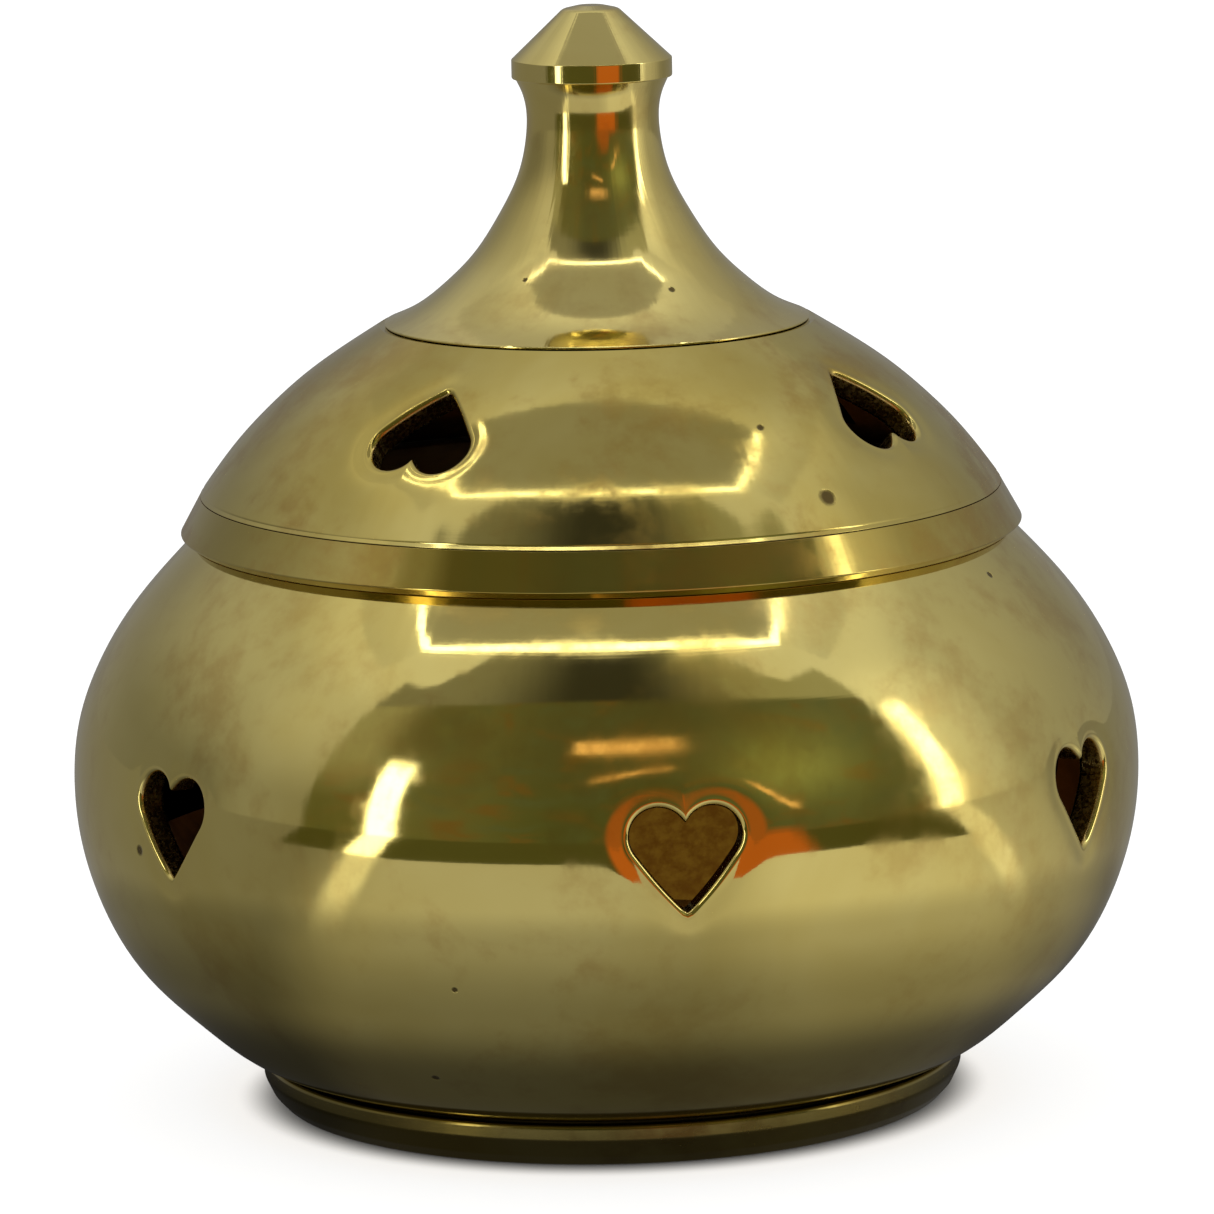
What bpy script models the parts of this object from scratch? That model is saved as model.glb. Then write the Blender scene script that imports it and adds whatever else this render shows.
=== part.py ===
"""Turned brass incense burner: a pierced onion-shaped bowl on a foot ring, a
lift-off domed lid with a finial, and a loose perforated grate inside.

Frame: metres, +Z up, origin at the centre of the face the foot ring stands on.
Azimuths are measured from -Y (the front) towards +X.
"""
import bpy
import bmesh
import math
from mathutils import Matrix, Vector

MM = 0.001

# ---- driving dimensions, millimetres ---------------------------------------
SEGMENTS = 48             # sides of the large turned pieces
FINE_SEGMENTS = 36        # sides of the finial
SMALL_SEGMENTS = 16       # sides of studs, washers and rivets
JOINT_GAP = 0.3           # clearance kept between neighbouring pieces

# foot ring
FOOT_HEIGHT = 3.1
FOOT_INNER_R = 20.6
FOOT_REST_R = 23.9        # outer edge of the flat that it stands on
FOOT_OUTER_R = 25.4

# bowl
BOWL_BOTTOM_Z = 3.4
BOWL_MAX_R = 38.34
BOWL_MAX_Z = 24.3
BOWL_WALL = 2.2
BOWL_FLOOR = 2.4
SHOULDER_R = 29.5         # outer corner of the flat lip that carries the lid
LIP_Z = 40.9
MOUTH_R = 26.6

# lid rim
RIM_BOTTOM_Z = LIP_Z + JOINT_GAP
RIM_SEAT_R = 29.5         # outer edge of the flat that sits on the lip
RIM_BAND_Z = 41.5         # lower corner of the flat band
RIM_BAND_R = 30.17
RIM_TOP_Z = 43.95
RIM_TOP_R = 29.05
SPIGOT_R = 26.2
SPIGOT_INNER_R = 24.6
SPIGOT_BOTTOM_Z = 38.6

# lid dome
DOME_BOTTOM_Z = RIM_TOP_Z + JOINT_GAP
DOME_BOTTOM_R = 28.9      # outer corner of the bevel at the dome's foot
DOME_BEVEL = 0.3
DOME_WALL = 2.0
CROWN_Z = 56.0
CROWN_R = 15.45

# finial
FINIAL_BOTTOM_Z = CROWN_Z + JOINT_GAP
FINIAL_BASE_R = 15.25
NECK_R = 4.73
CAP_R = 5.7
CAP_BOTTOM_Z = 73.5
CAP_TOP_Z = 74.85
TOTAL_HEIGHT = 78.6
TIP_R = 1.5

# finial fixing
STUD_R = 1.9
STUD_HOLE_R = 2.2
STUD_BOTTOM_Z = 49.3
STUD_TOP_Z = 63.5
WASHER_R = 5.0
WASHER_THICKNESS = 0.8
NUT_ACROSS_FLATS = 7.0
NUT_THICKNESS = 2.4

# heart piercings
HEART_WIDTH = 7.8
HEART_HEIGHT = 7.5
HEART_LOBE_R = 2.03
BOWL_HEART_TOP_Z = 28.1
BOWL_HEART_AZIMUTHS = (-53.0, 8.0, 61.2, 122.5, 184.0, 245.5)
LID_HEART_R = 22.25       # where the middle of a lid heart meets the dome
LID_HEART_Z = 51.2
LID_HEART_SLOPE = 51.0    # elevation of the dome's outward normal there
LID_HEART_AZIMUTHS = (-32.5, 58.3, 148.0, 238.0)

# grate
GRATE_R = 21.5
GRATE_BOTTOM_Z = 8.0
GRATE_THICKNESS = 1.2
GRATE_HOLE_R = 1.15
GRATE_HOLE_RINGS = ((0.0, 1), (6.0, 6), (12.0, 12))
GRATE_FOOT_CIRCLE_R = 17.5
GRATE_FOOT_AZIMUTHS = (30.0, 150.0, 270.0)
GRATE_FOOT_R = 1.9
GRATE_SHANK_R = 0.9
GRATE_RIVET_HOLE_R = 1.2


# ---- clean scene -----------------------------------------------------------
for old in list(bpy.data.objects):
    bpy.data.objects.remove(old, do_unlink=True)


# ---- materials -------------------------------------------------------------
def brass(name, colour, roughness):
    mat = bpy.data.materials.new(name)
    mat.use_nodes = True
    shader = mat.node_tree.nodes["Principled BSDF"]
    shader.inputs["Base Color"].default_value = (*colour, 1.0)
    shader.inputs["Metallic"].default_value = 1.0
    shader.inputs["Roughness"].default_value = roughness
    mat.diffuse_color = (*colour, 1.0)
    return mat


BOWL_BRASS = brass("bowl_brass", (0.62, 0.50, 0.22), 0.16)
FOOT_BRASS = brass("foot_brass", (0.62, 0.48, 0.20), 0.20)
LID_BRASS = brass("lid_brass", (0.62, 0.50, 0.22), 0.16)
RIM_BRASS = brass("rim_brass", (0.64, 0.48, 0.19), 0.14)
FINIAL_BRASS = brass("finial_brass", (0.66, 0.50, 0.20), 0.14)
FIXING_BRASS = brass("fixing_brass", (0.52, 0.40, 0.18), 0.32)
GRATE_BRASS = brass("grate_brass", (0.42, 0.32, 0.16), 0.40)


# ---- curves ----------------------------------------------------------------
def spline(points, steps=8):
    """Catmull-Rom curve through (r, z) points, ends included."""
    pts = [Vector(p) for p in points]
    pts = [2 * pts[0] - pts[1]] + pts + [2 * pts[-1] - pts[-2]]
    out = []
    for i in range(1, len(pts) - 2):
        p0, p1, p2, p3 = pts[i - 1:i + 3]
        for k in range(steps):
            t = k / steps
            out.append(0.5 * (2 * p1 + (p2 - p0) * t
                              + (2 * p0 - 5 * p1 + 4 * p2 - p3) * t * t
                              + (3 * p1 - p0 - 3 * p2 + p3) * t ** 3))
    out.append(pts[-2])
    return out


def resample(curve, count):
    """The same curve as `count` points evenly spaced along its length."""
    lengths = [0.0]
    for a, b in zip(curve, curve[1:]):
        lengths.append(lengths[-1] + (b - a).length)
    out = []
    j = 0
    for k in range(count):
        s = lengths[-1] * k / (count - 1)
        while j < len(curve) - 2 and lengths[j + 1] < s:
            j += 1
        span = lengths[j + 1] - lengths[j]
        t = (s - lengths[j]) / span if span else 0.0
        out.append(curve[j].lerp(curve[j + 1], min(max(t, 0.0), 1.0)))
    return out


def inward_offset(curve, distance):
    """Offset a bottom-to-top (r, z) curve towards the axis side."""
    out = []
    for i, p in enumerate(curve):
        a = curve[max(i - 1, 0)]
        b = curve[min(i + 1, len(curve) - 1)]
        t = (b - a).normalized()
        out.append(p + Vector((-t.y, t.x)) * distance)
    return out


# ---- solids ----------------------------------------------------------------
def finish(bm, name, mat, z0, parent, smooth_angle=35.0):
    mesh = bpy.data.meshes.new(name)
    bm.to_mesh(mesh)
    bm.free()
    mesh.materials.append(mat)
    mesh.shade_smooth()
    mesh.set_sharp_from_angle(angle=math.radians(smooth_angle))
    obj = bpy.data.objects.new(name, mesh)
    bpy.context.scene.collection.objects.link(obj)
    obj.parent = parent
    obj.location = (0.0, 0.0, z0 * MM)
    return obj


def turned(name, outline, segments, mat, z0=0.0, parent=None, at=(0.0, 0.0)):
    """Spin a closed (r, z) outline about the vertical line through `at`."""
    bm = bmesh.new()
    verts = [bm.verts.new((p[0] * MM, 0.0, (p[1] - z0) * MM)) for p in outline]
    edges = []
    for i, v in enumerate(verts):
        w = verts[(i + 1) % len(verts)]
        if v.co.x > 1e-7 or w.co.x > 1e-7:      # no edge along the axis
            edges.append(bm.edges.new((v, w)))
    bmesh.ops.spin(bm, geom=verts + edges, cent=(0, 0, 0), axis=(0, 0, 1),
                   dvec=(0, 0, 0), angle=2 * math.pi, steps=segments,
                   use_merge=True, use_duplicate=False)
    bmesh.ops.remove_doubles(bm, verts=bm.verts, dist=1e-7)
    bmesh.ops.dissolve_degenerate(bm, edges=bm.edges, dist=1e-8)
    bmesh.ops.recalc_face_normals(bm, faces=bm.faces)
    obj = finish(bm, name, mat, z0, parent)
    obj.location.x = at[0] * MM
    obj.location.y = at[1] * MM
    return obj


def group(name, z0):
    """Empty on the axis of the pieces that move together."""
    empty = bpy.data.objects.new(name, None)
    bpy.context.scene.collection.objects.link(empty)
    empty.location = (0.0, 0.0, z0 * MM)
    return empty


def heart_outline(width, height, lobe_r, lobe_points=9, side_points=3):
    """Heart with its lobes up: two round lobes and straight sides that meet in
    a point. (0, 0) is the middle of its height. Counter-clockwise."""
    cx = width / 2 - lobe_r
    cy = height / 2 - lobe_r
    tip = Vector((0.0, -height / 2))
    centre = Vector((cx, cy))
    to_centre = centre - tip
    reach = math.sqrt(to_centre.length_squared - lobe_r ** 2)
    turn = math.atan2(lobe_r, reach)
    base = math.atan2(to_centre.y, to_centre.x)
    tangent = tip + Vector((math.cos(base - turn), math.sin(base - turn))) * reach
    start = math.atan2(tangent.y - cy, tangent.x - cx)
    end = math.pi - math.acos(cx / lobe_r)
    right = [tip.lerp(tangent, k / side_points) for k in range(side_points)]
    for k in range(lobe_points):
        a = start + (end - start) * k / (lobe_points - 1)
        right.append(centre + Vector((math.cos(a), math.sin(a))) * lobe_r)
    left = [Vector((-p.x, p.y)) for p in reversed(right[1:-1])]
    return right + left


def heart_cutter(name, placements, flip, depth_in, depth_out, host):
    """One cutter holding a heart-shaped punch for each placement. A placement
    is (azimuth, radius, z, elevation of the punch's axis)."""
    outline = heart_outline(HEART_WIDTH, HEART_HEIGHT, HEART_LOBE_R)
    if flip:
        outline = [Vector((p.x, -p.y)) for p in reversed(outline)]
    bm = bmesh.new()
    for azimuth, radius, z, elevation in placements:
        az = math.radians(azimuth)
        el = math.radians(elevation)
        radial = Vector((math.sin(az), -math.cos(az), 0.0))
        across = Vector((math.cos(az), math.sin(az), 0.0))
        out = radial * math.cos(el) + Vector((0, 0, 1)) * math.sin(el)
        up = Vector((0, 0, 1)) * math.cos(el) - radial * math.sin(el)
        middle = radial * radius + Vector((0, 0, z))
        loop = [bm.verts.new((middle + across * p.x + up * p.y
                              - out * depth_in) * MM) for p in outline]
        face = bm.faces.new(loop)
        grown = bmesh.ops.extrude_face_region(bm, geom=[face])
        top = [v for v in grown["geom"] if isinstance(v, bmesh.types.BMVert)]
        bmesh.ops.translate(bm, verts=top, vec=out * (depth_in + depth_out) * MM)
    bmesh.ops.recalc_face_normals(bm, faces=bm.faces)
    mesh = bpy.data.meshes.new(name)
    bm.to_mesh(mesh)
    bm.free()
    cutter = bpy.data.objects.new(name, mesh)
    bpy.context.scene.collection.objects.link(cutter)
    cutter.hide_render = True
    cutter.display_type = 'WIRE'
    cut = host.modifiers.new("hearts", 'BOOLEAN')
    cut.operation = 'DIFFERENCE'
    cut.solver = 'EXACT'
    cut.object = cutter
    return cutter


# ---- foot ring -------------------------------------------------------------
foot_outline = [
    (FOOT_INNER_R + 0.3, 0.0), (FOOT_REST_R, 0.0), (24.5, 0.35), (25.1, 1.15),
    (FOOT_OUTER_R, 2.1), (25.3, 2.75), (25.0, FOOT_HEIGHT),
    (FOOT_INNER_R, FOOT_HEIGHT), (FOOT_INNER_R, 0.3)]
foot_ring = turned("foot_ring", foot_outline, SEGMENTS, FOOT_BRASS)

# ---- bowl ------------------------------------------------------------------
bowl_curve = spline([
    (25.3, BOWL_BOTTOM_Z), (26.7, 3.95), (30.1, 6.6), (34.1, 10.5),
    (36.8, 15.4), (38.1, 20.2), (BOWL_MAX_R, BOWL_MAX_Z), (37.9, 28.0),
    (36.8, 31.1), (35.84, 33.0), (34.6, 35.0), (33.05, 37.0), (31.25, 39.0),
    (SHOULDER_R, LIP_Z - 0.05)])
bowl_outer = resample(bowl_curve, 17)
inner_floor_z = BOWL_BOTTOM_Z + BOWL_FLOOR
bowl_inner = [p for p in inward_offset(bowl_curve, BOWL_WALL)
              if inner_floor_z + 0.5 < p.y < LIP_Z - 2.6]
bowl_inner = resample(bowl_inner, 13)
bowl_outline = [(0.0, BOWL_BOTTOM_Z), (12.5, BOWL_BOTTOM_Z)]
bowl_outline += [tuple(p) for p in bowl_outer]
bowl_outline += [
    (SHOULDER_R - 0.15, LIP_Z), (MOUTH_R + 0.3, LIP_Z), (MOUTH_R, LIP_Z - 0.3),
    (MOUTH_R, 40.0), (27.2, 39.4)]
bowl_outline += [tuple(p) for p in reversed(bowl_inner)]
bowl_outline += [(bowl_inner[0].x - 1.2, inner_floor_z), (11.5, inner_floor_z),
                 (0.0, inner_floor_z)]
bowl = turned("bowl", bowl_outline, SEGMENTS, BOWL_BRASS)
heart_cutter(
    "bowl_heart_cutter",
    [(az, BOWL_MAX_R, BOWL_HEART_TOP_Z - HEART_HEIGHT / 2, 0.0)
     for az in BOWL_HEART_AZIMUTHS],
    flip=False, depth_in=6.0, depth_out=3.0, host=bowl)

# ---- lid: rim, dome, finial and its fixing ---------------------------------
lid = group("lid", RIM_BOTTOM_Z)
lid.location = (0, 0, 0)

rim_outline = [
    (SPIGOT_INNER_R, SPIGOT_BOTTOM_Z), (SPIGOT_R - 0.3, SPIGOT_BOTTOM_Z),
    (SPIGOT_R, SPIGOT_BOTTOM_Z + 0.4), (SPIGOT_R, RIM_BOTTOM_Z),
    (RIM_SEAT_R, RIM_BOTTOM_Z), (RIM_BAND_R - 0.08, RIM_BAND_Z - 0.05),
    (RIM_BAND_R, RIM_BAND_Z + 0.05), (RIM_TOP_R, RIM_TOP_Z - 0.15),
    (RIM_TOP_R - 0.1, RIM_TOP_Z),
    (SPIGOT_INNER_R, RIM_TOP_Z)]
lid_rim = turned("lid_rim", rim_outline, SEGMENTS, RIM_BRASS,
                 z0=RIM_BOTTOM_Z, parent=lid)

dome_curve = spline([
    (28.45, DOME_BOTTOM_Z + DOME_BEVEL), (27.4, 46.0), (25.8, 48.0), (23.83, 50.0),
    (21.6, 52.0), (18.95, 53.9), (CROWN_R, CROWN_Z)])
dome_outer = resample(dome_curve, 12)
dome_inner = [p for p in inward_offset(dome_curve, DOME_WALL)
              if DOME_BOTTOM_Z + 0.6 < p.y < CROWN_Z - DOME_WALL - 0.4]
dome_inner = resample(dome_inner, 9)
crown_under_z = CROWN_Z - DOME_WALL
dome_outline = [(DOME_BOTTOM_R, DOME_BOTTOM_Z)]
dome_outline += [tuple(p) for p in dome_outer]
dome_outline += [
    (9.0, CROWN_Z), (STUD_HOLE_R, CROWN_Z), (STUD_HOLE_R, crown_under_z),
    (dome_inner[-1].x - 1.0, crown_under_z)]
dome_outline += [tuple(p) for p in reversed(dome_inner)]
dome_outline += [(dome_inner[0].x + 0.2, DOME_BOTTOM_Z)]
lid_dome = turned("lid_dome", dome_outline, SEGMENTS, LID_BRASS,
                  z0=DOME_BOTTOM_Z, parent=lid)
heart_cutter(
    "lid_heart_cutter",
    [(az, LID_HEART_R, LID_HEART_Z, LID_HEART_SLOPE)
     for az in LID_HEART_AZIMUTHS],
    flip=True, depth_in=5.0, depth_out=3.0, host=lid_dome)

finial_curve = spline([
    (FINIAL_BASE_R, FINIAL_BOTTOM_Z + 0.15), (13.3, 57.05), (10.8, 58.9),
    (8.86, 60.8), (6.83, 63.8), (5.38, 66.7), (4.8, 69.2), (NECK_R, 71.0),
    (5.0, 72.4), (CAP_R - 0.2, CAP_BOTTOM_Z)])
finial_outline = [(STUD_HOLE_R, FINIAL_BOTTOM_Z),
                  (FINIAL_BASE_R - 0.15, FINIAL_BOTTOM_Z)]
finial_outline += [tuple(p) for p in resample(finial_curve, 15)]
finial_outline += [
    (CAP_R, CAP_BOTTOM_Z + 0.15), (CAP_R, CAP_TOP_Z - 0.1),
    (CAP_R - 0.15, CAP_TOP_Z), (3.7, 76.6), (2.3, 78.1),
    (TIP_R, TOTAL_HEIGHT), (0.0, TOTAL_HEIGHT), (0.0, STUD_TOP_Z + 0.8),
    (STUD_HOLE_R, STUD_TOP_Z + 0.3)]
finial = turned("finial", finial_outline, FINE_SEGMENTS, FINIAL_BRASS,
                z0=FINIAL_BOTTOM_Z, parent=lid)

stud_outline = [
    (0.0, STUD_BOTTOM_Z), (STUD_R - 0.3, STUD_BOTTOM_Z),
    (STUD_R, STUD_BOTTOM_Z + 0.3), (STUD_R, STUD_TOP_Z - 0.3),
    (STUD_R - 0.3, STUD_TOP_Z), (0.0, STUD_TOP_Z)]
finial_stud = turned("finial_stud", stud_outline, SMALL_SEGMENTS, FIXING_BRASS,
                     z0=FINIAL_BOTTOM_Z, parent=lid)

washer_top = crown_under_z - JOINT_GAP
washer_outline = [
    (STUD_HOLE_R, washer_top - WASHER_THICKNESS),
    (WASHER_R, washer_top - WASHER_THICKNESS), (WASHER_R, washer_top),
    (STUD_HOLE_R, washer_top)]
finial_washer = turned("finial_washer", washer_outline, 24, FIXING_BRASS,
                       z0=washer_top, parent=lid)

nut_top = washer_top - WASHER_THICKNESS - JOINT_GAP
bm = bmesh.new()
ring_in, ring_out = [], []
for k in range(24):
    a = 2 * math.pi * k / 24
    nearest = (a + math.pi / 6) % (math.pi / 3) - math.pi / 6
    flat_r = NUT_ACROSS_FLATS / 2 / math.cos(nearest)
    ring_out.append(bm.verts.new((flat_r * math.cos(a) * MM,
                                  flat_r * math.sin(a) * MM, 0)))
    ring_in.append(bm.verts.new((STUD_HOLE_R * math.cos(a) * MM,
                                 STUD_HOLE_R * math.sin(a) * MM, 0)))
for k in range(24):
    m = (k + 1) % 24
    bm.faces.new((ring_in[k], ring_in[m], ring_out[m], ring_out[k]))
grown = bmesh.ops.extrude_face_region(bm, geom=list(bm.faces))
bmesh.ops.translate(
    bm, vec=(0, 0, -NUT_THICKNESS * MM),
    verts=[v for v in grown["geom"] if isinstance(v, bmesh.types.BMVert)])
bmesh.ops.recalc_face_normals(bm, faces=bm.faces)
finial_nut = finish(bm, "finial_nut", FIXING_BRASS, nut_top, lid)

# ---- grate: perforated plate on three riveted feet -------------------------
grate = group("grate", 0.0)
grate_top = GRATE_BOTTOM_Z + GRATE_THICKNESS
plate_outline = [
    (0.0, GRATE_BOTTOM_Z), (GRATE_R - 0.2, GRATE_BOTTOM_Z),
    (GRATE_R, GRATE_BOTTOM_Z + 0.3), (GRATE_R, grate_top - 0.3),
    (GRATE_R - 0.2, grate_top), (0.0, grate_top)]
grate_plate = turned("grate_plate", plate_outline, SEGMENTS, GRATE_BRASS,
                     z0=GRATE_BOTTOM_Z, parent=grate)
bm = bmesh.new()


def punch(radius, x, y, sides):
    bmesh.ops.create_cone(
        bm, cap_ends=True, segments=sides, radius1=radius * MM,
        radius2=radius * MM, depth=4 * GRATE_THICKNESS * MM,
        matrix=Matrix.Translation(
            (x * MM, y * MM, (GRATE_BOTTOM_Z + GRATE_THICKNESS / 2) * MM)))


for ring_r, count in GRATE_HOLE_RINGS:
    for k in range(count):
        a = 2 * math.pi * (k + 0.5) / count
        punch(GRATE_HOLE_R, ring_r * math.cos(a), ring_r * math.sin(a), 10)
for azimuth in GRATE_FOOT_AZIMUTHS:
    a = math.radians(azimuth)
    punch(GRATE_RIVET_HOLE_R, GRATE_FOOT_CIRCLE_R * math.cos(a),
          GRATE_FOOT_CIRCLE_R * math.sin(a), 12)
mesh = bpy.data.meshes.new("grate_hole_cutter")
bm.to_mesh(mesh)
bm.free()
cutter = bpy.data.objects.new("grate_hole_cutter", mesh)
bpy.context.scene.collection.objects.link(cutter)
cutter.hide_render = True
cutter.display_type = 'WIRE'
cut = grate_plate.modifiers.new("holes", 'BOOLEAN')
cut.operation = 'DIFFERENCE'
cut.solver = 'EXACT'
cut.object = cutter

foot_bottom = inner_floor_z + JOINT_GAP
foot_outline_small = [
    (0.0, foot_bottom), (GRATE_FOOT_R - 0.3, foot_bottom),
    (GRATE_FOOT_R, foot_bottom + 0.3),
    (GRATE_FOOT_R, GRATE_BOTTOM_Z - JOINT_GAP),
    (GRATE_SHANK_R, GRATE_BOTTOM_Z - JOINT_GAP),
    (GRATE_SHANK_R, grate_top + JOINT_GAP),
    (GRATE_FOOT_R - 0.2, grate_top + JOINT_GAP),
    (GRATE_FOOT_R - 0.5, grate_top + JOINT_GAP + 0.5),
    (0.0, grate_top + JOINT_GAP + 0.75)]
for index, azimuth in enumerate(GRATE_FOOT_AZIMUTHS, 1):
    a = math.radians(azimuth)
    turned("grate_foot_%d" % index, foot_outline_small, 12, GRATE_BRASS,
           z0=foot_bottom, parent=grate,
           at=(GRATE_FOOT_CIRCLE_R * math.cos(a),
               GRATE_FOOT_CIRCLE_R * math.sin(a)))
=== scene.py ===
"""Looks of the turned brass incense burner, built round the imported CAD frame.

All shapes are turned profiles worked out here in millimetres and written in
metres. Azimuths are measured from -Y (the front) towards +X.
"""
import bpy
import bmesh
import math
import numpy as np
from mathutils import Matrix, Vector


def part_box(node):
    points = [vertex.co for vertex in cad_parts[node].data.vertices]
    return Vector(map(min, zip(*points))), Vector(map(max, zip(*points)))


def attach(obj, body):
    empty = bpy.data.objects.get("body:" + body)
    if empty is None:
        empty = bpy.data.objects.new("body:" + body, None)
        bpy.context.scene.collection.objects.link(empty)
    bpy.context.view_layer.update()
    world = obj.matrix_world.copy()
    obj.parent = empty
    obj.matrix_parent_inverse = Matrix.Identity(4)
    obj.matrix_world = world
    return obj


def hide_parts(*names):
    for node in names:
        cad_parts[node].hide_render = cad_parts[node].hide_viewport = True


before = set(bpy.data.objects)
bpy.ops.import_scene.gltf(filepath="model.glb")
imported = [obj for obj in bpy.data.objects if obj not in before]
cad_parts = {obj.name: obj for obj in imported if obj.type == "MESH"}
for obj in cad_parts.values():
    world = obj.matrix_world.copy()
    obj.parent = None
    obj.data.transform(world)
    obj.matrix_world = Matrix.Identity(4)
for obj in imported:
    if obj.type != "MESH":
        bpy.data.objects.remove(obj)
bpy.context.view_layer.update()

MM = 0.001

# ---------------------------------------------------------------- sizes, mm
FOOT_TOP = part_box("foot_ring")[1].z / MM
BOWL_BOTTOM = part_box("bowl")[0].z / MM
BOWL_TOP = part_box("bowl")[1].z / MM
RIM_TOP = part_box("lid_rim")[1].z / MM
SPIGOT_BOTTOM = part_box("lid_rim")[0].z / MM
CROWN_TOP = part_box("lid_dome")[1].z / MM
TOTAL_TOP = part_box("finial")[1].z / MM

SEAM = 0.05               # fine gap left at a closed seam
BOWL_WALL = 2.2
DOME_WALL = 2.0
HEART_W, HEART_H, LOBE_R = 7.8, 7.5, 2.03
BOWL_HEARTS = (-53.0, 8.0, 61.2, 122.5, 184.0, 245.5)
BOWL_HEART_Z = 28.1 - HEART_H / 2
LID_HEARTS = (-32.5, 58.3, 148.0, 238.0)
LID_HEART_R = 22.25
STUD_R, STUD_HOLE_R = 1.9, 2.2


# ------------------------------------------------------------------- curves
def natural_spline(points, step=0.05, soften=1.2):
    """Smooth curve through (r, z) control points, as evenly spaced points."""
    p = np.array(points, float)
    t = np.concatenate([[0], np.cumsum(np.hypot(*np.diff(p, axis=0).T))])
    n = len(t)
    h = np.diff(t)
    a = np.zeros((n, n))
    b = np.zeros((n, 2))
    a[0, 0] = a[-1, -1] = 1.0
    for i in range(1, n - 1):
        a[i, i - 1], a[i, i], a[i, i + 1] = h[i - 1], 2 * (h[i - 1] + h[i]), h[i]
        b[i] = 6 * ((p[i + 1] - p[i]) / h[i] - (p[i] - p[i - 1]) / h[i - 1])
    m = np.linalg.solve(a, b)
    u = np.linspace(0, t[-1], max(int(t[-1] / step), 8) + 1)
    k = np.clip(np.searchsorted(t, u) - 1, 0, n - 2)
    w = (u - t[k])[:, None]
    v = (t[k + 1] - u)[:, None]
    hk = h[k][:, None]
    c = (m[k] * v ** 3 / (6 * hk) + m[k + 1] * w ** 3 / (6 * hk)
         + (p[k] / hk - m[k] * hk / 6) * v + (p[k + 1] / hk - m[k + 1] * hk / 6) * w)
    if soften:
        g = np.exp(-0.5 * (np.arange(-3 * soften, 3 * soften + step / 2, step) / soften) ** 2)
        g /= g.sum()
        half = len(g) // 2
        lead = 2 * c[0] - c[half:0:-1] if half < len(c) else c[:0]
        tail = 2 * c[-1] - c[-2:-half - 2:-1] if half < len(c) else c[:0]
        q = np.concatenate([lead, c, tail])
        c = np.stack([np.convolve(q[:, i], g, "valid")[:len(c)] for i in (0, 1)], 1)
    return c


class Curve:
    """A dense (r, z) curve read by its arc length, with its outward normal."""

    def __init__(self, pts):
        self.p = np.array(pts, float)
        self.s = np.concatenate([[0], np.cumsum(np.hypot(*np.diff(self.p, axis=0).T))])
        d = np.gradient(self.p, self.s, axis=0)
        d /= np.linalg.norm(d, axis=1, keepdims=True)
        self.n = np.stack([d[:, 1], -d[:, 0]], 1)
        self.length = self.s[-1]

    def at(self, s):
        s = np.asarray(s, float)
        return (np.interp(s, self.s, self.p[:, 0]), np.interp(s, self.s, self.p[:, 1]))

    def normal(self, s):
        s = np.asarray(s, float)
        nr, nz = np.interp(s, self.s, self.n[:, 0]), np.interp(s, self.s, self.n[:, 1])
        k = np.hypot(nr, nz)
        return nr / k, nz / k

    def s_at_z(self, z):
        up = self.p[-1, 1] > self.p[0, 1]
        zz, ss = (self.p[:, 1], self.s) if up else (self.p[::-1, 1], self.s[::-1])
        return np.interp(z, zz, ss)

    def offset_inward(self, d):
        return self.p - self.n * d


# ----------------------------------------------------- outlines with fillets
def filleted(points, closed, arc=5):
    """points: (r, z, radius) or (r, z, 0, nr, nz) for a point of a curve with
    a known normal. Returns rows of (r, z, nr, nz), the normal being on the
    right of the way along."""
    out = []
    n = len(points)
    for i, q in enumerate(points):
        p = np.array(q[:2], float)
        if len(q) == 5:
            out.append((p[0], p[1], q[3], q[4]))
            continue
        a = np.array(points[(i - 1) % n][:2], float) if closed or i else None
        b = np.array(points[(i + 1) % n][:2], float) if closed or i < n - 1 else None
        ta = (p - a) / np.linalg.norm(p - a) if a is not None else None
        tb = (b - p) / np.linalg.norm(b - p) if b is not None else None
        if ta is None or tb is None or q[2] <= 0:
            t = ta if tb is None else tb if ta is None else ta + tb
            t = t / np.linalg.norm(t)
            out.append((p[0], p[1], t[1], -t[0]))
            continue
        cross = ta[0] * tb[1] - ta[1] * tb[0]
        turn = math.atan2(cross, float(ta @ tb))
        if abs(turn) < 1e-3:
            out.append((p[0], p[1], ta[1], -ta[0]))
            continue
        back = q[2] * math.tan(abs(turn) / 2)
        start = p - ta * back
        side = 1.0 if turn > 0 else -1.0
        centre = start + np.array([-ta[1], ta[0]]) * side * q[2]
        for k in range(arc + 1):
            f = turn * k / arc
            c, s = math.cos(f), math.sin(f)
            nr, nz = ta[1], -ta[0]
            nk = np.array([nr * c - nz * s, nr * s + nz * c])
            pos = centre + nk * q[2] * side
            out.append((pos[0], pos[1], nk[0], nk[1]))
    return out


def curve_rows(curve, s_values):
    r, z = curve.at(s_values)
    nr, nz = curve.normal(s_values)
    return [(float(a), float(b), 0, float(c), float(d)) for a, b, c, d in zip(r, z, nr, nz)]


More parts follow.
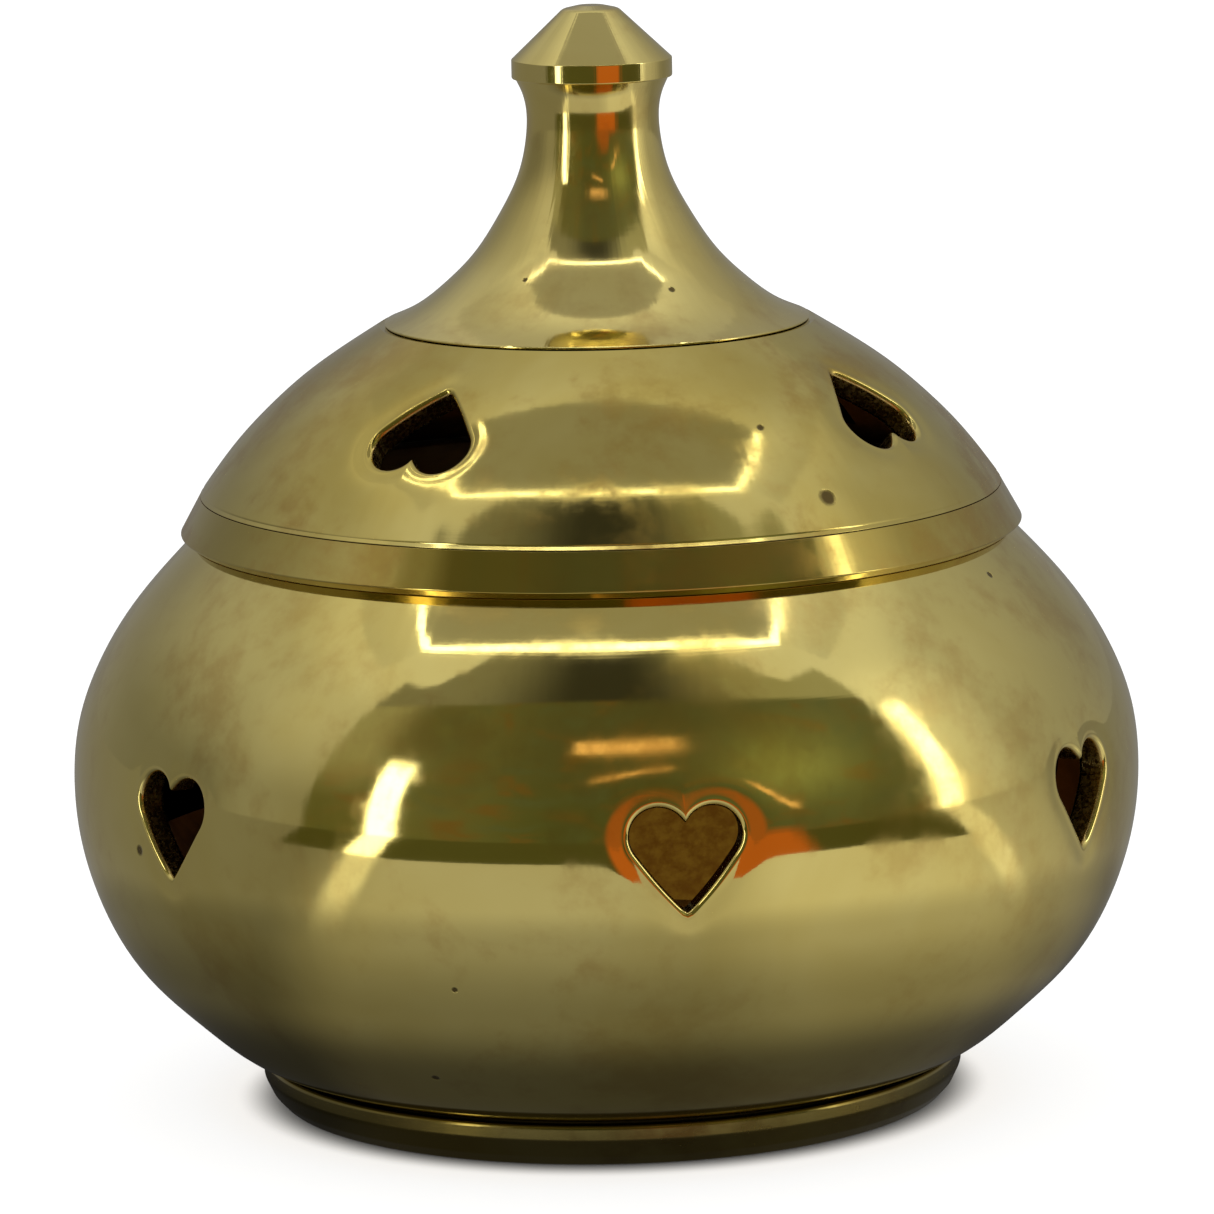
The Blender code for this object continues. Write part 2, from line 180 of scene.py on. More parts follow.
# ------------------------------------------------------------- mesh builder
class Builder:
    def __init__(self):
        self.v, self.n, self.f, self.m = [], [], [], []

    def add(self, pos, nrm):
        self.v.append(tuple(float(x) * MM for x in pos))
        k = math.sqrt(sum(float(x) ** 2 for x in nrm)) or 1.0
        self.n.append(tuple(float(x) / k for x in nrm))
        return len(self.v) - 1

    def face(self, *idx, mat=0):
        ring = [i for k, i in enumerate(idx) if i != idx[k - 1]]
        if len(set(ring)) >= 3:
            self.f.append(ring)
            self.m.append(mat)

    def object(self, name, mats):
        mesh = bpy.data.meshes.new(name)
        mesh.from_pydata(self.v, [], self.f)
        mesh.update()
        for mat in mats:
            mesh.materials.append(mat)
        mesh.polygons.foreach_set("material_index", self.m)
        mesh.shade_smooth()
        mesh.normals_split_custom_set_from_vertices(self.n)
        mesh.validate(clean_customdata=False)
        mesh.update()
        obj = bpy.data.objects.new(name, mesh)
        bpy.context.scene.collection.objects.link(obj)
        return obj


def ring_point(r, z, nr, nz, theta):
    s, c = math.sin(theta), math.cos(theta)
    return (r * s, -r * c, z), (nr * s, -nr * c, nz)


def lathe(name, rows, closed, mats, segments=160, mat_of=None, wobble=None):
    """Turns rows of (r, z, nr, nz), listed with the metal on their left."""
    b = Builder()
    thetas = [2 * math.pi * k / segments for k in range(segments)]
    grid = []
    for r, z, nr, nz in rows:
        if r < 1e-6:
            grid.append([b.add((0, 0, z), (0, 0, 1 if nz > 0 else -1))] * segments)
            continue
        grid.append([b.add(*ring_point(r, z, nr, nz, t)) for t in thetas])
    last = len(rows) if closed else len(rows) - 1
    for j in range(last):
        lo, hi = grid[j], grid[(j + 1) % len(rows)]
        mat = mat_of(j) if mat_of else 0
        for i in range(segments):
            k = (i + 1) % segments
            b.face(lo[i], lo[k], hi[k], hi[i], mat=mat)
    return b.object(name, mats)


# -------------------------------------------------------------------- heart
def heart_points(count, tip_up=False):
    """A heart's outline as `count` points evenly spaced, anticlockwise from
    the bottom middle, with the tip and the cleft slightly rounded."""
    cx, cy = HEART_W / 2 - LOBE_R, HEART_H / 2 - LOBE_R
    tip = np.array([0.0, -HEART_H / 2])
    centre = np.array([cx, cy])
    to_c = centre - tip
    reach = math.sqrt(to_c @ to_c - LOBE_R ** 2)
    turn, base = math.atan2(LOBE_R, reach), math.atan2(to_c[1], to_c[0])
    tangent = tip + np.array([math.cos(base - turn), math.sin(base - turn)]) * reach
    start = math.atan2(tangent[1] - cy, tangent[0] - cx)
    end = math.pi - math.acos(cx / LOBE_R)
    side = [tip + (tangent - tip) * k / 40 for k in range(40)]
    bulge = np.array([tangent[1] - tip[1], tip[0] - tangent[0]])
    bulge /= np.linalg.norm(bulge)
    side = [q + bulge * 0.10 * math.sin(math.pi * k / 40) for k, q in enumerate(side)]
    lobe = [centre + LOBE_R * np.array([math.cos(a), math.sin(a)])
            for a in np.linspace(start, end, 60)]
    right = np.array(side + lobe)
    left = (right * [-1, 1])[::-1][1:-1]
    loop = np.concatenate([right, left])
    if tip_up:
        loop = (loop * [1, -1])[::-1]
        k = int(np.argmin(np.abs(loop[:, 0]) + np.where(loop[:, 1] < 0, 0, 99)))
        loop = np.roll(loop, -k, axis=0)
    def even(q, m):
        q = np.concatenate([q, q[:1]])
        s = np.concatenate([[0], np.cumsum(np.hypot(*np.diff(q, axis=0).T))])
        u = np.linspace(0, s[-1], m + 1)[:-1]
        return np.stack([np.interp(u, s, q[:, 0]), np.interp(u, s, q[:, 1])], 1)
    loop = even(loop, 480)
    for _ in range(26):
        loop = 0.5 * loop + 0.25 * (np.roll(loop, 1, 0) + np.roll(loop, -1, 0))
    return even(loop, count)


def loop_outward(q):
    d = np.roll(q, -1, 0) - np.roll(q, 1, 0)
    n = np.stack([d[:, 1], -d[:, 0]], 1)
    n /= np.linalg.norm(n, axis=1, keepdims=True)
    for _ in range(6):
        n = 0.5 * n + 0.25 * (np.roll(n, 1, 0) + np.roll(n, -1, 0))
    return n / np.linalg.norm(n, axis=1, keepdims=True)


def edge_distance(q, loop):
    """Distance from points q to a closed polyline, and its gradient."""
    a, b = loop, np.roll(loop, -1, 0)
    ab = b - a
    t = np.clip(((q[:, None] - a) * ab).sum(-1) / (ab * ab).sum(-1), 0, 1)
    near = a + t[..., None] * ab
    off = q[:, None] - near
    d = np.hypot(off[..., 0], off[..., 1])
    k = d.argmin(1)
    i = np.arange(len(q))
    return d[i, k], off[i, k] / np.maximum(d[i, k], 1e-9)[:, None]


EDGE_R = 0.42             # rounding of a heart's polished outer edge
DISHES = ((0.105, 0.85), (0.045, 2.6))   # depth and reach, mm, of the metal
DISH = sum(depth for depth, _ in DISHES)  # the punch drew in round a heart


def dish(d):
    e = np.maximum(d - EDGE_R, 0.0)
    return -sum(h * np.exp(-(e / w) ** 2) for h, w in DISHES)


def dish_slope(d):
    e = np.maximum(d - EDGE_R, 0.0)
    return sum(h * 2 * e / w ** 2 * np.exp(-(e / w) ** 2) for h, w in DISHES)


def pierced_shell(name, before, outer, between, inner, after, closed, hearts,
                  s_outer, s_inner, tip_up, half_a, half_b, cells, gap_cells,
                  mats, curve_step=0.8):
    """A turned shell with heart piercings. The profile runs `before`, up the
    `outer` curve, `between`, down the `inner` curve, `after`. The hearts sit
    at s_outer and s_inner on the two curves. mats: outside, inside, cut."""
    b = Builder()
    na = nb = cells
    r_mid = float(outer.at(s_outer)[0])
    half_t = half_a / r_mid
    az = sorted(math.radians(a) for a in hearts)
    thetas, patch_cols = [], []
    for k, a in enumerate(az):
        nxt = az[(k + 1) % len(az)] + (2 * math.pi if k == len(az) - 1 else 0)
        patch_cols.append(len(thetas))
        thetas += [a - half_t + 2 * half_t * i / na for i in range(na)]
        lo, hi = a + half_t, nxt - half_t
        n = max(int(round((hi - lo) / (2 * half_t / na))), 4)
        thetas += [lo + (hi - lo) * i / n for i in range(n)]
    cols = len(thetas)

    def s_rows(curve, s_mid):
        lo, hi = s_mid - half_b, s_mid + half_b
        n0 = max(int(math.ceil(lo / curve_step)), 2)
        n1 = max(int(math.ceil((curve.length - hi) / curve_step)), 2)
        s = list(np.linspace(0, lo, n0 + 1)[:-1])
        first = len(s)
        s += list(np.linspace(lo, hi, nb + 1))
        s += list(np.linspace(hi, curve.length, n1 + 1)[1:])
        return s, first

    so, first_o = s_rows(outer, s_outer)
    si, first_i = s_rows(inner, s_inner)
    pts = list(before) + curve_rows(outer, so) + list(between) + curve_rows(inner, si) + list(after)
    tags = ([("b", 0)] * len(before) + [("o", k) for k in range(len(so))]
            + [("m", 0)] * len(between) + [("i", k) for k in range(len(si))]
            + [("a", 0)] * len(after))
    rows, row_tag = [], []
    n = len(pts)
    for i in range(n):
        if len(pts[i]) == 5:
            got = [(pts[i][0], pts[i][1], pts[i][3], pts[i][4])]
        else:
            lo_i = i - 1 if (i or closed) else i
            hi_i = (i + 1) % n if (i < n - 1 or closed) else i
            trio = [pts[lo_i]] if lo_i != i else []
            trio += [pts[i]] + ([pts[hi_i]] if hi_i != i else [])
            where = 1 if lo_i != i else 0
            full = filleted([(q[0], q[1], q[2] if len(q) < 5 and j == where else 0)
                             for j, q in enumerate(trio)], False)
            start = where
            got = full[start:len(full) - (1 if hi_i != i else 0)]
        rows += got
        row_tag += [tags[i]] * len(got)
    base_o = row_tag.index(("o", first_o))
    base_i = row_tag.index(("i", first_i))
    in_patch_rows = {base_o + j: "o" for j in range(nb)}
    in_patch_rows.update({base_i + j: "i" for j in range(nb)})
    patch_set = set()
    for c0 in patch_cols:
        patch_set.update((c0 + i) % cols for i in range(na))
    row_first_i = row_tag.index(("i", 0))

    grid = []
    for r, z, nr, nz in rows:
        if r < 1e-6:
            grid.append([b.add((0, 0, z), (0, 0, 1 if nz > 0 else -1))] * cols)
        else:
            grid.append([b.add(*ring_point(r, z, nr, nz, t)) for t in thetas])
    last = len(rows) if closed else len(rows) - 1
    for j in range(last):
        lo, hi = grid[j], grid[(j + 1) % len(rows)]
        mat = 1 if j >= row_first_i - 3 else 0
        for i in range(cols):
            if j in in_patch_rows and i in patch_set:
                continue
            k = (i + 1) % cols
            b.face(lo[i], lo[k], hi[k], hi[i], mat=mat)

    m_count = 2 * (na + nb)
    heart = heart_points(m_count, tip_up)
    away = loop_outward(heart)

    def perimeter(base, c0, flip):
        """Grid vertices round a patch, anticlockwise seen from outside, from
        the middle of its world-bottom side."""
        lo_j, hi_j = (base + nb, base) if flip else (base, base + nb)
        sgn = -1 if flip else 1
        ids = []
        for i in range(na // 2, na):
            ids.append((lo_j, c0 + i))
        for j in range(nb):
            ids.append((lo_j + sgn * j, c0 + na))
        for i in range(na, 0, -1):
            ids.append((hi_j, c0 + i))
        for j in range(nb, 0, -1):
            ids.append((lo_j + sgn * j, c0))
        for i in range(0, na // 2):
            ids.append((lo_j, c0 + i))
        return ids

    def frame_at(curve, s, theta):
        r, z = curve.at(s)
        nr, nz = curve.normal(s)
        st, ct = np.sin(theta), np.cos(theta)
        pos = np.stack([r * st, -r * ct, z], -1)
        nrm = np.stack([nr * st, -nr * ct, nz], -1)
        east = np.stack([ct, st, np.zeros_like(st)], -1)
        north = np.cross(nrm, east)
        return pos, nrm, east, north, r

    arcs = 6
    blend_t = [0.07, 0.15, 0.24, 0.34, 0.45, 0.58, 0.72, 0.86]
    for c0, a0 in zip(patch_cols, az):
        # outside
        rim = perimeter(base_o, c0, False)
        rim_ids = [grid[j][i % cols] for j, i in rim]
        rim_a = np.array([(i - c0 - na / 2) * 2 * half_t / na for j, i in rim])
        rim_s = np.array([so[first_o + j - base_o] for j, i in rim])
        loops = []
        for k in range(arcs + 1):
            phi = 0.5 * math.pi * k / arcs
            d = EDGE_R * (1 - math.cos(phi))
            h = -EDGE_R * (1 - math.sin(phi))
            q = heart + away * d
            s = s_outer + q[:, 1]
            th = a0 + q[:, 0] / outer.at(s)[0]
            pos, nrm, east, north, _ = frame_at(outer, s, th)
            g = away[:, :1] * east + away[:, 1:] * north
            v = pos + nrm * (h - DISH)
            nn = -g * math.cos(phi) + nrm * math.sin(phi)
            loops.append([b.add(p, w) for p, w in zip(v, nn)])
            if k == 0:
                wall_top, wall_n = v, g
        q0 = heart + away * EDGE_R
        s0 = s_outer + q0[:, 1]
        t0 = q0[:, 0] / outer.at(s0)[0]
        for t in blend_t:
            s = s0 + (rim_s - s0) * t
            th = t0 + (rim_a - t0) * t
            local = np.stack([th * outer.at(s)[0], s - s_outer], 1)
            d, g2 = edge_distance(local, heart)
            fade = 1 - t ** 3
            pos, nrm, east, north, _ = frame_at(outer, s, a0 + th)
            v = pos + nrm * (dish(d) * fade)[:, None]
            slope = (dish_slope(d) * fade)[:, None]
            nn = nrm - slope * (g2[:, :1] * east + g2[:, 1:] * north)
            loops.append([b.add(p, w) for p, w in zip(v, nn)])
        loops.append(rim_ids)
        for k, (l0, l1) in enumerate(zip(loops, loops[1:])):
            for m in range(m_count):
                w = (m + 1) % m_count
                b.face(l0[m], l1[m], l1[w], l0[w], mat=2 if k < 2 else 0)
        outer_edge = loops[0]
        # the cut, straight along the punch's axis to the inner surface
        pos0, nrm0, _, _, _ = frame_at(outer, np.array([s_outer]), np.array([a0]))
        axis = -nrm0[0]
        near, far = np.zeros(m_count), np.full(m_count, 6.0)

        def depth_inside(p):
            r = np.hypot(p[:, 0], p[:, 1])
            si_ = inner.s_at_z(p[:, 2])
            ri, zi = inner.at(si_)
            nr_, nz_ = inner.normal(si_)
            return (r - ri) * nr_ + (p[:, 2] - zi) * nz_

        for _ in range(40):
            mid = (near + far) / 2
            p = wall_top + axis * mid[:, None]
            out = depth_inside(p) < 0
            near = np.where(out, mid, near)
            far = np.where(out, far, mid)
        ends = wall_top + axis * near[:, None]
        inner_r = 0.22
        th_e = np.arctan2(ends[:, 0], -ends[:, 1]) - a0
        th_e = (th_e + math.pi) % (2 * math.pi) - math.pi
        s_e = inner.s_at_z(ends[:, 2])
        prev = outer_edge
        for f in (0.12, 0.35, 0.6, 0.85, 1.0):
            length = np.maximum(near - inner_r, 0.1)[:, None]
            v = wall_top + axis * length * f
            cur = [b.add(p, -w) for p, w in zip(v, wall_n)]
            for m in range(m_count):
                w = (m + 1) % m_count
                b.face(prev[m], prev[w], cur[w], cur[m], mat=2)
            prev = cur
        # inside
        loops = [prev]
        for k in range(1, 5):
            phi = 0.5 * math.pi * k / 4
            d = inner_r * (1 - math.cos(phi))
            h = -inner_r * (1 - math.sin(phi))
            s = s_e - away[:, 1] * d
            th = th_e + away[:, 0] * d / inner.at(s)[0]
            pos, nrm, east, north, _ = frame_at(inner, s, a0 + th)
            v = pos + nrm * h
            nn = -wall_n * math.cos(phi) + nrm * math.sin(phi)
            loops.append([b.add(p, w) for p, w in zip(v, nn)])
            s_l, th_l = s, th
        rim = perimeter(base_i, c0, True)
        rim_ids = [grid[j][i % cols] for j, i in rim]
        rim_a = np.array([(i - c0 - na / 2) * 2 * half_t / na for j, i in rim])
        rim_s = np.array([si[first_i + j - base_i] for j, i in rim])
        for t in (0.12, 0.28, 0.48, 0.72):
            s = s_l + (rim_s - s_l) * t
            th = th_l + (rim_a - th_l) * t
            pos, nrm, _, _, _ = frame_at(inner, s, a0 + th)
            loops.append([b.add(p, w) for p, w in zip(pos, nrm)])
        loops.append(rim_ids)
        for k, (l0, l1) in enumerate(zip(loops, loops[1:])):
            for m in range(m_count):
                w = (m + 1) % m_count
                b.face(l0[m], l1[m], l1[w], l0[w], mat=2 if k < 4 else 1)
    return b.object(name, mats)


# ---------------------------------------------------------------- materials
def nodes_of(name):
    mat = bpy.data.materials.new(name)
    mat.use_nodes = True
    nt = mat.node_tree
    nt.nodes.clear()
    out = nt.nodes.new("ShaderNodeOutputMaterial")
    bsdf = nt.nodes.new("ShaderNodeBsdfPrincipled")
    nt.links.new(bsdf.outputs[0], out.inputs[0])
    return mat, nt, bsdf


class G:
    """Small helper to write node graphs as expressions."""

    def __init__(self, nt):
        self.nt = nt

    def new(self, kind, **props):
        n = self.nt.nodes.new(kind)
        for k, v in props.items():
            setattr(n, k, v)
        return n

    def put(self, socket, value):
        if isinstance(value, bpy.types.NodeSocket):
            self.nt.links.new(value, socket)
        else:
            socket.default_value = value

    def math(self, op, a, b=0.0, c=0.0, clamp=False):
        n = self.new("ShaderNodeMath", operation=op, use_clamp=clamp)
        for s, v in zip(n.inputs, (a, b, c)):
            self.put(s, v)
        return n.outputs[0]

    def ramp(self, fac, lo, hi, out_lo=0.0, out_hi=1.0, smooth=True):
        n = self.new("ShaderNodeMapRange",
                     interpolation_type="SMOOTHSTEP" if smooth else "LINEAR", clamp=True)
        for s, v in zip(n.inputs, (fac, lo, hi, out_lo, out_hi)):
            self.put(s, v)
        return n.outputs[0]

    def mix(self, fac, a, b, blend="MIX"):
        n = self.new("ShaderNodeMix", data_type="RGBA", blend_type=blend)
        self.put(n.inputs[0], fac)
        for s, v in ((n.inputs[6], a), (n.inputs[7], b)):
            if isinstance(v, tuple) and len(v) == 3:
                v = (*v, 1.0)
            self.put(s, v)
        return n.outputs[2]

    def noise(self, vec, scale, detail=3.0, rough=0.5, distortion=0.0):
        n = self.new("ShaderNodeTexNoise")
        self.put(n.inputs["Vector"], vec)
        n.inputs["Scale"].default_value = scale
        n.inputs["Detail"].default_value = detail
        n.inputs["Roughness"].default_value = rough
        n.inputs["Distortion"].default_value = distortion
        return n.outputs[0]

    def voronoi(self, vec, scale, randomness=1.0):
        n = self.new("ShaderNodeTexVoronoi", feature="F1")
        self.put(n.inputs["Vector"], vec)
        n.inputs["Scale"].default_value = scale
        n.inputs["Randomness"].default_value = randomness
        return n.outputs["Distance"], n.outputs["Color"]

    def combine(self, x, y, z):
        n = self.new("ShaderNodeCombineXYZ")
        for s, v in zip(n.inputs, (x, y, z)):
            self.put(s, v)
        return n.outputs[0]

    def separate(self, v):
        n = self.new("ShaderNodeSeparateXYZ")
        self.put(n.inputs[0], v)
        return n.outputs

    def bump(self, height, distance, strength=1.0, normal=None):
        n = self.new("ShaderNodeBump")
        n.inputs["Strength"].default_value = strength
        n.inputs["Distance"].default_value = distance
        self.put(n.inputs["Height"], height)
        if normal is not None:
            self.put(n.inputs["Normal"], normal)
        return n.outputs[0]


def turned_brass(name, colour, rough=0.10, patina=0.5, rings=1.0, warm=(0.50, 0.33, 0.11),
                 pits=1.0, seed=0.0, aniso=0.25, dull=0.0, ring_pitch=0.00022, chat=1.0,
                 marks=()):
    """Polished turned brass: fine lathe rings, patina clouds, small pits and
    faint wipe marks. Object coordinates are metres in the row frame."""
    mat, nt, bsdf = nodes_of(name)
    g = G(nt)
    co = plain = g.new("ShaderNodeTexCoord").outputs["Object"]
    x, y, z = g.separate(co)
    radius = g.math("SQRT", g.math("ADD", g.math("MULTIPLY", x, x), g.math("MULTIPLY", y, y)))
    rz = g.combine(radius, seed, z)
    moved = g.new("ShaderNodeVectorMath", operation="ADD")
    g.put(moved.inputs[0], co)
    moved.inputs[1].default_value = (seed, seed * 0.7, seed * 1.3)
    co = moved.outputs[0]

    clouds = g.noise(co, 95.0, 5.0, 0.58, 0.35)
    fine = g.noise(co, 620.0, 3.0, 0.6)
    blot = g.ramp(g.math("ADD", g.math("MULTIPLY", clouds, 0.75), g.math("MULTIPLY", fine, 0.25)),
                  0.47, 0.66)
    haze = g.ramp(g.noise(co, 42.0, 4.0, 0.6, 0.4), 0.38, 0.66)
    ring_a = g.noise(rz, 1.0 / (ring_pitch * 6), 2.0, 0.5)
    ring_b = g.noise(rz, 1.0 / ring_pitch, 2.0, 0.6)
    ring_c = g.noise(rz, 110.0, 2.0, 0.5)

    stain = g.math("MULTIPLY", blot, 0.85 * patina, clamp=True)
    col = g.mix(stain, colour, warm)
    col = g.mix(g.math("MULTIPLY", haze, 0.75 * patina), col,
                (colour[0] * 0.80, colour[1] * 0.72, colour[2] * 0.45))
    col = g.mix(g.math("MULTIPLY", g.ramp(ring_c, 0.42, 0.68), 0.10), col,
                tuple(a * 0.86 for a in colour))
    # pits and specks
    dist, cell = g.voronoi(co, 260.0)
    r_, g_, b_ = g.separate(cell)
    keep = g.ramp(r_, 0.955, 0.965)
    size = g.math("MULTIPLY_ADD", g_, 0.10, 0.05)
    pit = g.math("MULTIPLY", g.math("SUBTRACT", 1.0, g.ramp(dist, g.math("MULTIPLY", size, 0.55), size)),
                 keep)
    pit = g.math("MULTIPLY", pit, pits, clamp=True)
    # single marks: (x, y, z, radius) in millimetres, edges roughened by noise
    for mx, my, mz, mr in marks:
        away = g.new("ShaderNodeVectorMath", operation="DISTANCE")
        g.put(away.inputs[0], plain)
        away.inputs[1].default_value = (mx * MM, my * MM, mz * MM)
        reach = g.math("ADD", away.outputs["Value"], g.math("MULTIPLY", g.math("SUBTRACT", fine, 0.5), 0.6 * mr * MM))
        pit = g.math("MAXIMUM", pit, g.ramp(reach, 0.55 * mr * MM, 1.1 * mr * MM, 0.9, 0.0))
    col = g.mix(pit, col, (0.10, 0.065, 0.025))
    g.put(bsdf.inputs["Base Color"], col)
    bsdf.inputs["Metallic"].default_value = 1.0
    bsdf.inputs["Anisotropic"].default_value = aniso

    scuff = g.ramp(g.noise(co, 210.0, 4.0, 0.62, 0.2), 0.52, 0.78)
    rgh = g.math("ADD", rough + dull, g.math("MULTIPLY", blot, 0.16 * patina))
    rgh = g.math("ADD", rgh, g.math("MULTIPLY", scuff, 0.05))
    rgh = g.math("ADD", rgh, g.math("MULTIPLY", g.math("SUBTRACT", ring_a, 0.5), 0.07 * rings))
    rgh = g.math("ADD", rgh, g.math("MULTIPLY", pit, 0.4), clamp=True)
    g.put(bsdf.inputs["Roughness"], rgh)

    n1 = g.bump(ring_a, 0.0000020 * rings)
    n2 = g.bump(ring_b, 0.0000008 * rings, normal=n1)
    # faint chatter marks, long along the profile and narrow round it
    safe = g.math("MAXIMUM", radius, 0.001)
    chatter = g.noise(g.combine(g.math("MULTIPLY", g.math("DIVIDE", x, safe), 16.0),
                                g.math("MULTIPLY", g.math("DIVIDE", y, safe), 16.0),
                                g.math("MULTIPLY", z, 60.0)), 1.0, 2.0, 0.5)
    n2 = g.bump(chatter, 0.000010 * chat, normal=n2)
    n3 = g.bump(g.noise(co, 48.0, 2.0, 0.5), 0.000012, normal=n2)
    n4 = g.bump(fine, 0.0000012, normal=n3)
    n5 = g.bump(g.math("MULTIPLY", pit, -1.0), 0.00005, normal=n4)
    g.put(bsdf.inputs["Normal"], n5)
    if aniso:
        tan = g.new("ShaderNodeTangent", direction_type="RADIAL", axis="Z")
        g.put(bsdf.inputs["Tangent"], tan.outputs[0])
    return mat


def hot_brass(name, colour, soot_colour, rough=0.34, soot=0.6, seed=0.0, floor_z=0.006, top_z=0.030,
              painted_glow=0.0):
    """The unpolished inside: heat-reddened metal with coarse tool rings and
    soot that thickens towards the bottom."""
    mat, nt, bsdf = nodes_of(name)
    g = G(nt)
    co = g.new("ShaderNodeTexCoord").outputs["Object"]
    x, y, z = g.separate(co)
    radius = g.math("SQRT", g.math("ADD", g.math("MULTIPLY", x, x), g.math("MULTIPLY", y, y)))
    rz = g.combine(radius, seed, z)
    ring_a = g.noise(rz, 900.0, 3.0, 0.6)
    ring_b = g.noise(rz, 2600.0, 2.0, 0.5)
    clouds = g.noise(co, 120.0, 5.0, 0.6, 0.5)
    low = g.ramp(z, floor_z, top_z, 1.0, 0.0)
    s = g.math("MULTIPLY", g.ramp(g.math("ADD", clouds, g.math("MULTIPLY", low, 0.25)), 0.45, 0.8), soot)
    col = g.mix(s, colour, soot_colour)
    col = g.mix(g.math("MULTIPLY", g.ramp(ring_a, 0.4, 0.7), 0.35), col, tuple(c * 0.55 for c in colour))
    g.put(bsdf.inputs["Base Color"], col)
    g.put(bsdf.inputs["Metallic"], g.math("SUBTRACT", 1.0, g.math("MULTIPLY", s, 0.55)))
    g.put(bsdf.inputs["Roughness"], g.math("ADD", rough, g.math("MULTIPLY", s, 0.35), clamp=True))
    n1 = g.bump(ring_a, 0.00003)
    n2 = g.bump(ring_b, 0.000008, normal=n1)
    n3 = g.bump(clouds, 0.00004, normal=n2)
    g.put(bsdf.inputs["Normal"], n3)
    if painted_glow:
        # painted light: a red-brown emission glow on the back wall behind the front piercing, standing in for light
        # that reaches in there; it is no lamp
        painted_glow_spot = g.math("MULTIPLY", g.ramp(y, 0.012, 0.027), g.ramp(g.math("ABSOLUTE", x), 0.009, 0.023, 1.0, 0.0))
        painted_glow_spot = g.math("MULTIPLY", painted_glow_spot, g.ramp(z, 0.015, 0.026, 1.0, 0.0))
        painted_glow_mottle = g.ramp(g.noise(co, 900.0, 3.0, 0.7), 0.30, 0.72, 0.35, 1.0)
        g.put(bsdf.inputs["Emission Color"], g.mix(painted_glow_mottle, (0.110, 0.030, 0.002), (0.26, 0.130, 0.012)))
        g.put(bsdf.inputs["Emission Strength"], g.math("MULTIPLY", painted_glow_spot, painted_glow))
        mat.cycles.emission_sampling = "NONE"
    return mat


def cut_brass(name, colour, rough=0.22, seed=0.0):
    """Filed and buffed edges of a piercing."""
    mat, nt, bsdf = nodes_of(name)
    g = G(nt)
    co = g.new("ShaderNodeTexCoord").outputs["Object"]
    marks = g.noise(co, 3600.0, 3.0, 0.6, 0.3)
    broad = g.noise(co, 520.0, 2.0, 0.5)
    col = g.mix(g.ramp(broad, 0.45, 0.75), colour, tuple(c * 0.80 for c in colour))
    g.put(bsdf.inputs["Base Color"], col)
    bsdf.inputs["Metallic"].default_value = 1.0
    g.put(bsdf.inputs["Roughness"], g.ramp(marks, 0.3, 0.7, rough * 0.7, rough * 1.6))
    g.put(bsdf.inputs["Normal"], g.bump(broad, 0.0000025, normal=g.bump(marks, 0.0000005)))
    return mat


BOWL_BRASS, LID_BRASS = (0.78, 0.66, 0.235), (0.66, 0.555, 0.19)
RIM_BRASS, FINIAL_BRASS = (0.56, 0.455, 0.14), (0.82, 0.69, 0.26)
m_bowl = turned_brass("bowl_polish", BOWL_BRASS, 0.055, 0.6, 0.8, (0.52, 0.33, 0.09), seed=0.0, marks=(
    (-32.7, -20.0, 22.2, 0.45), (-10.6, -35.1, 15.2, 0.25), (-12.2, -28.7, 7.6, 0.35),
    (27.1, -14.6, 39.5, 0.3), (-11.1, -35.2, 14.6, 0.16), (14.1, -27.9, 37.1, 0.16),
    (20.5, 30.1, 27.5, 0.4), (-33.0, 13.5, 17.0, 0.3)))
m_lid = turned_brass("lid_polish", LID_BRASS, 0.085, 0.9, 0.8, (0.44, 0.27, 0.07), seed=0.31, marks=(
    (15.6, -22.1, 46.4, 0.7), (11.1, -19.8, 51.0, 0.3), (-13.0, 18.8, 50.1, 0.35)))
m_rim = turned_brass("rim_polish", RIM_BRASS, 0.085, 0.7, 0.8, (0.45, 0.25, 0.06), seed=0.57)
# the foot's brass is made far darker than the bowl's, as painted shade for the shadow under the bowl's belly
m_foot = turned_brass("foot_polish_painted_shade", (0.27, 0.22, 0.072), 0.16, 0.8, 1.2, (0.17, 0.11, 0.035), seed=0.83)
m_finial = turned_brass("finial_polish", FINIAL_BRASS, 0.09, 0.6, 1.4, seed=1.09, marks=(
    (-5.0, -8.1, 60.1, 0.2), (5.3, -8.9, 59.3, 0.25)))
# the bowl's inside carries a painted glow on the wall behind the front piercing
m_hot = hot_brass("bowl_inside", (0.36, 0.17, 0.055), (0.04, 0.026, 0.016), 0.34, 0.6, painted_glow=0.42)
m_hot_lid = hot_brass("lid_inside", (0.30, 0.17, 0.06), (0.030, 0.020, 0.012), 0.42, 0.8,
                      seed=0.4, floor_z=0.060, top_z=0.040)
m_cut = cut_brass("cut_edge", (0.50, 0.37, 0.13))
m_fix = turned_brass("fixing_turned", (0.62, 0.47, 0.20), 0.26, 0.9, 2.0, seed=1.4, aniso=0.0)
m_grate = hot_brass("grate_heat_browned", (0.48, 0.31, 0.13), (0.05, 0.035, 0.025), 0.38, 0.6,
                    seed=2.0, floor_z=0.004, top_z=0.011)


# --------------------------------------------------------------------- foot
foot_rows = filleted([
    (20.9, 0.0, 0.2), (24.05, 0.0, 0.45), (24.75, 0.75, 0.6), (25.3, 1.9, 0.8),
    (25.2, FOOT_TOP - 0.05, 0.35), (24.6, FOOT_TOP, 0.1), (20.6, FOOT_TOP, 0.1),
    (20.6, 0.3, 0.2)], True, 6)
foot = lathe("foot_ring_turned", foot_rows, True, [m_foot], 240)
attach(foot, "burner_base")
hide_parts("foot_ring")

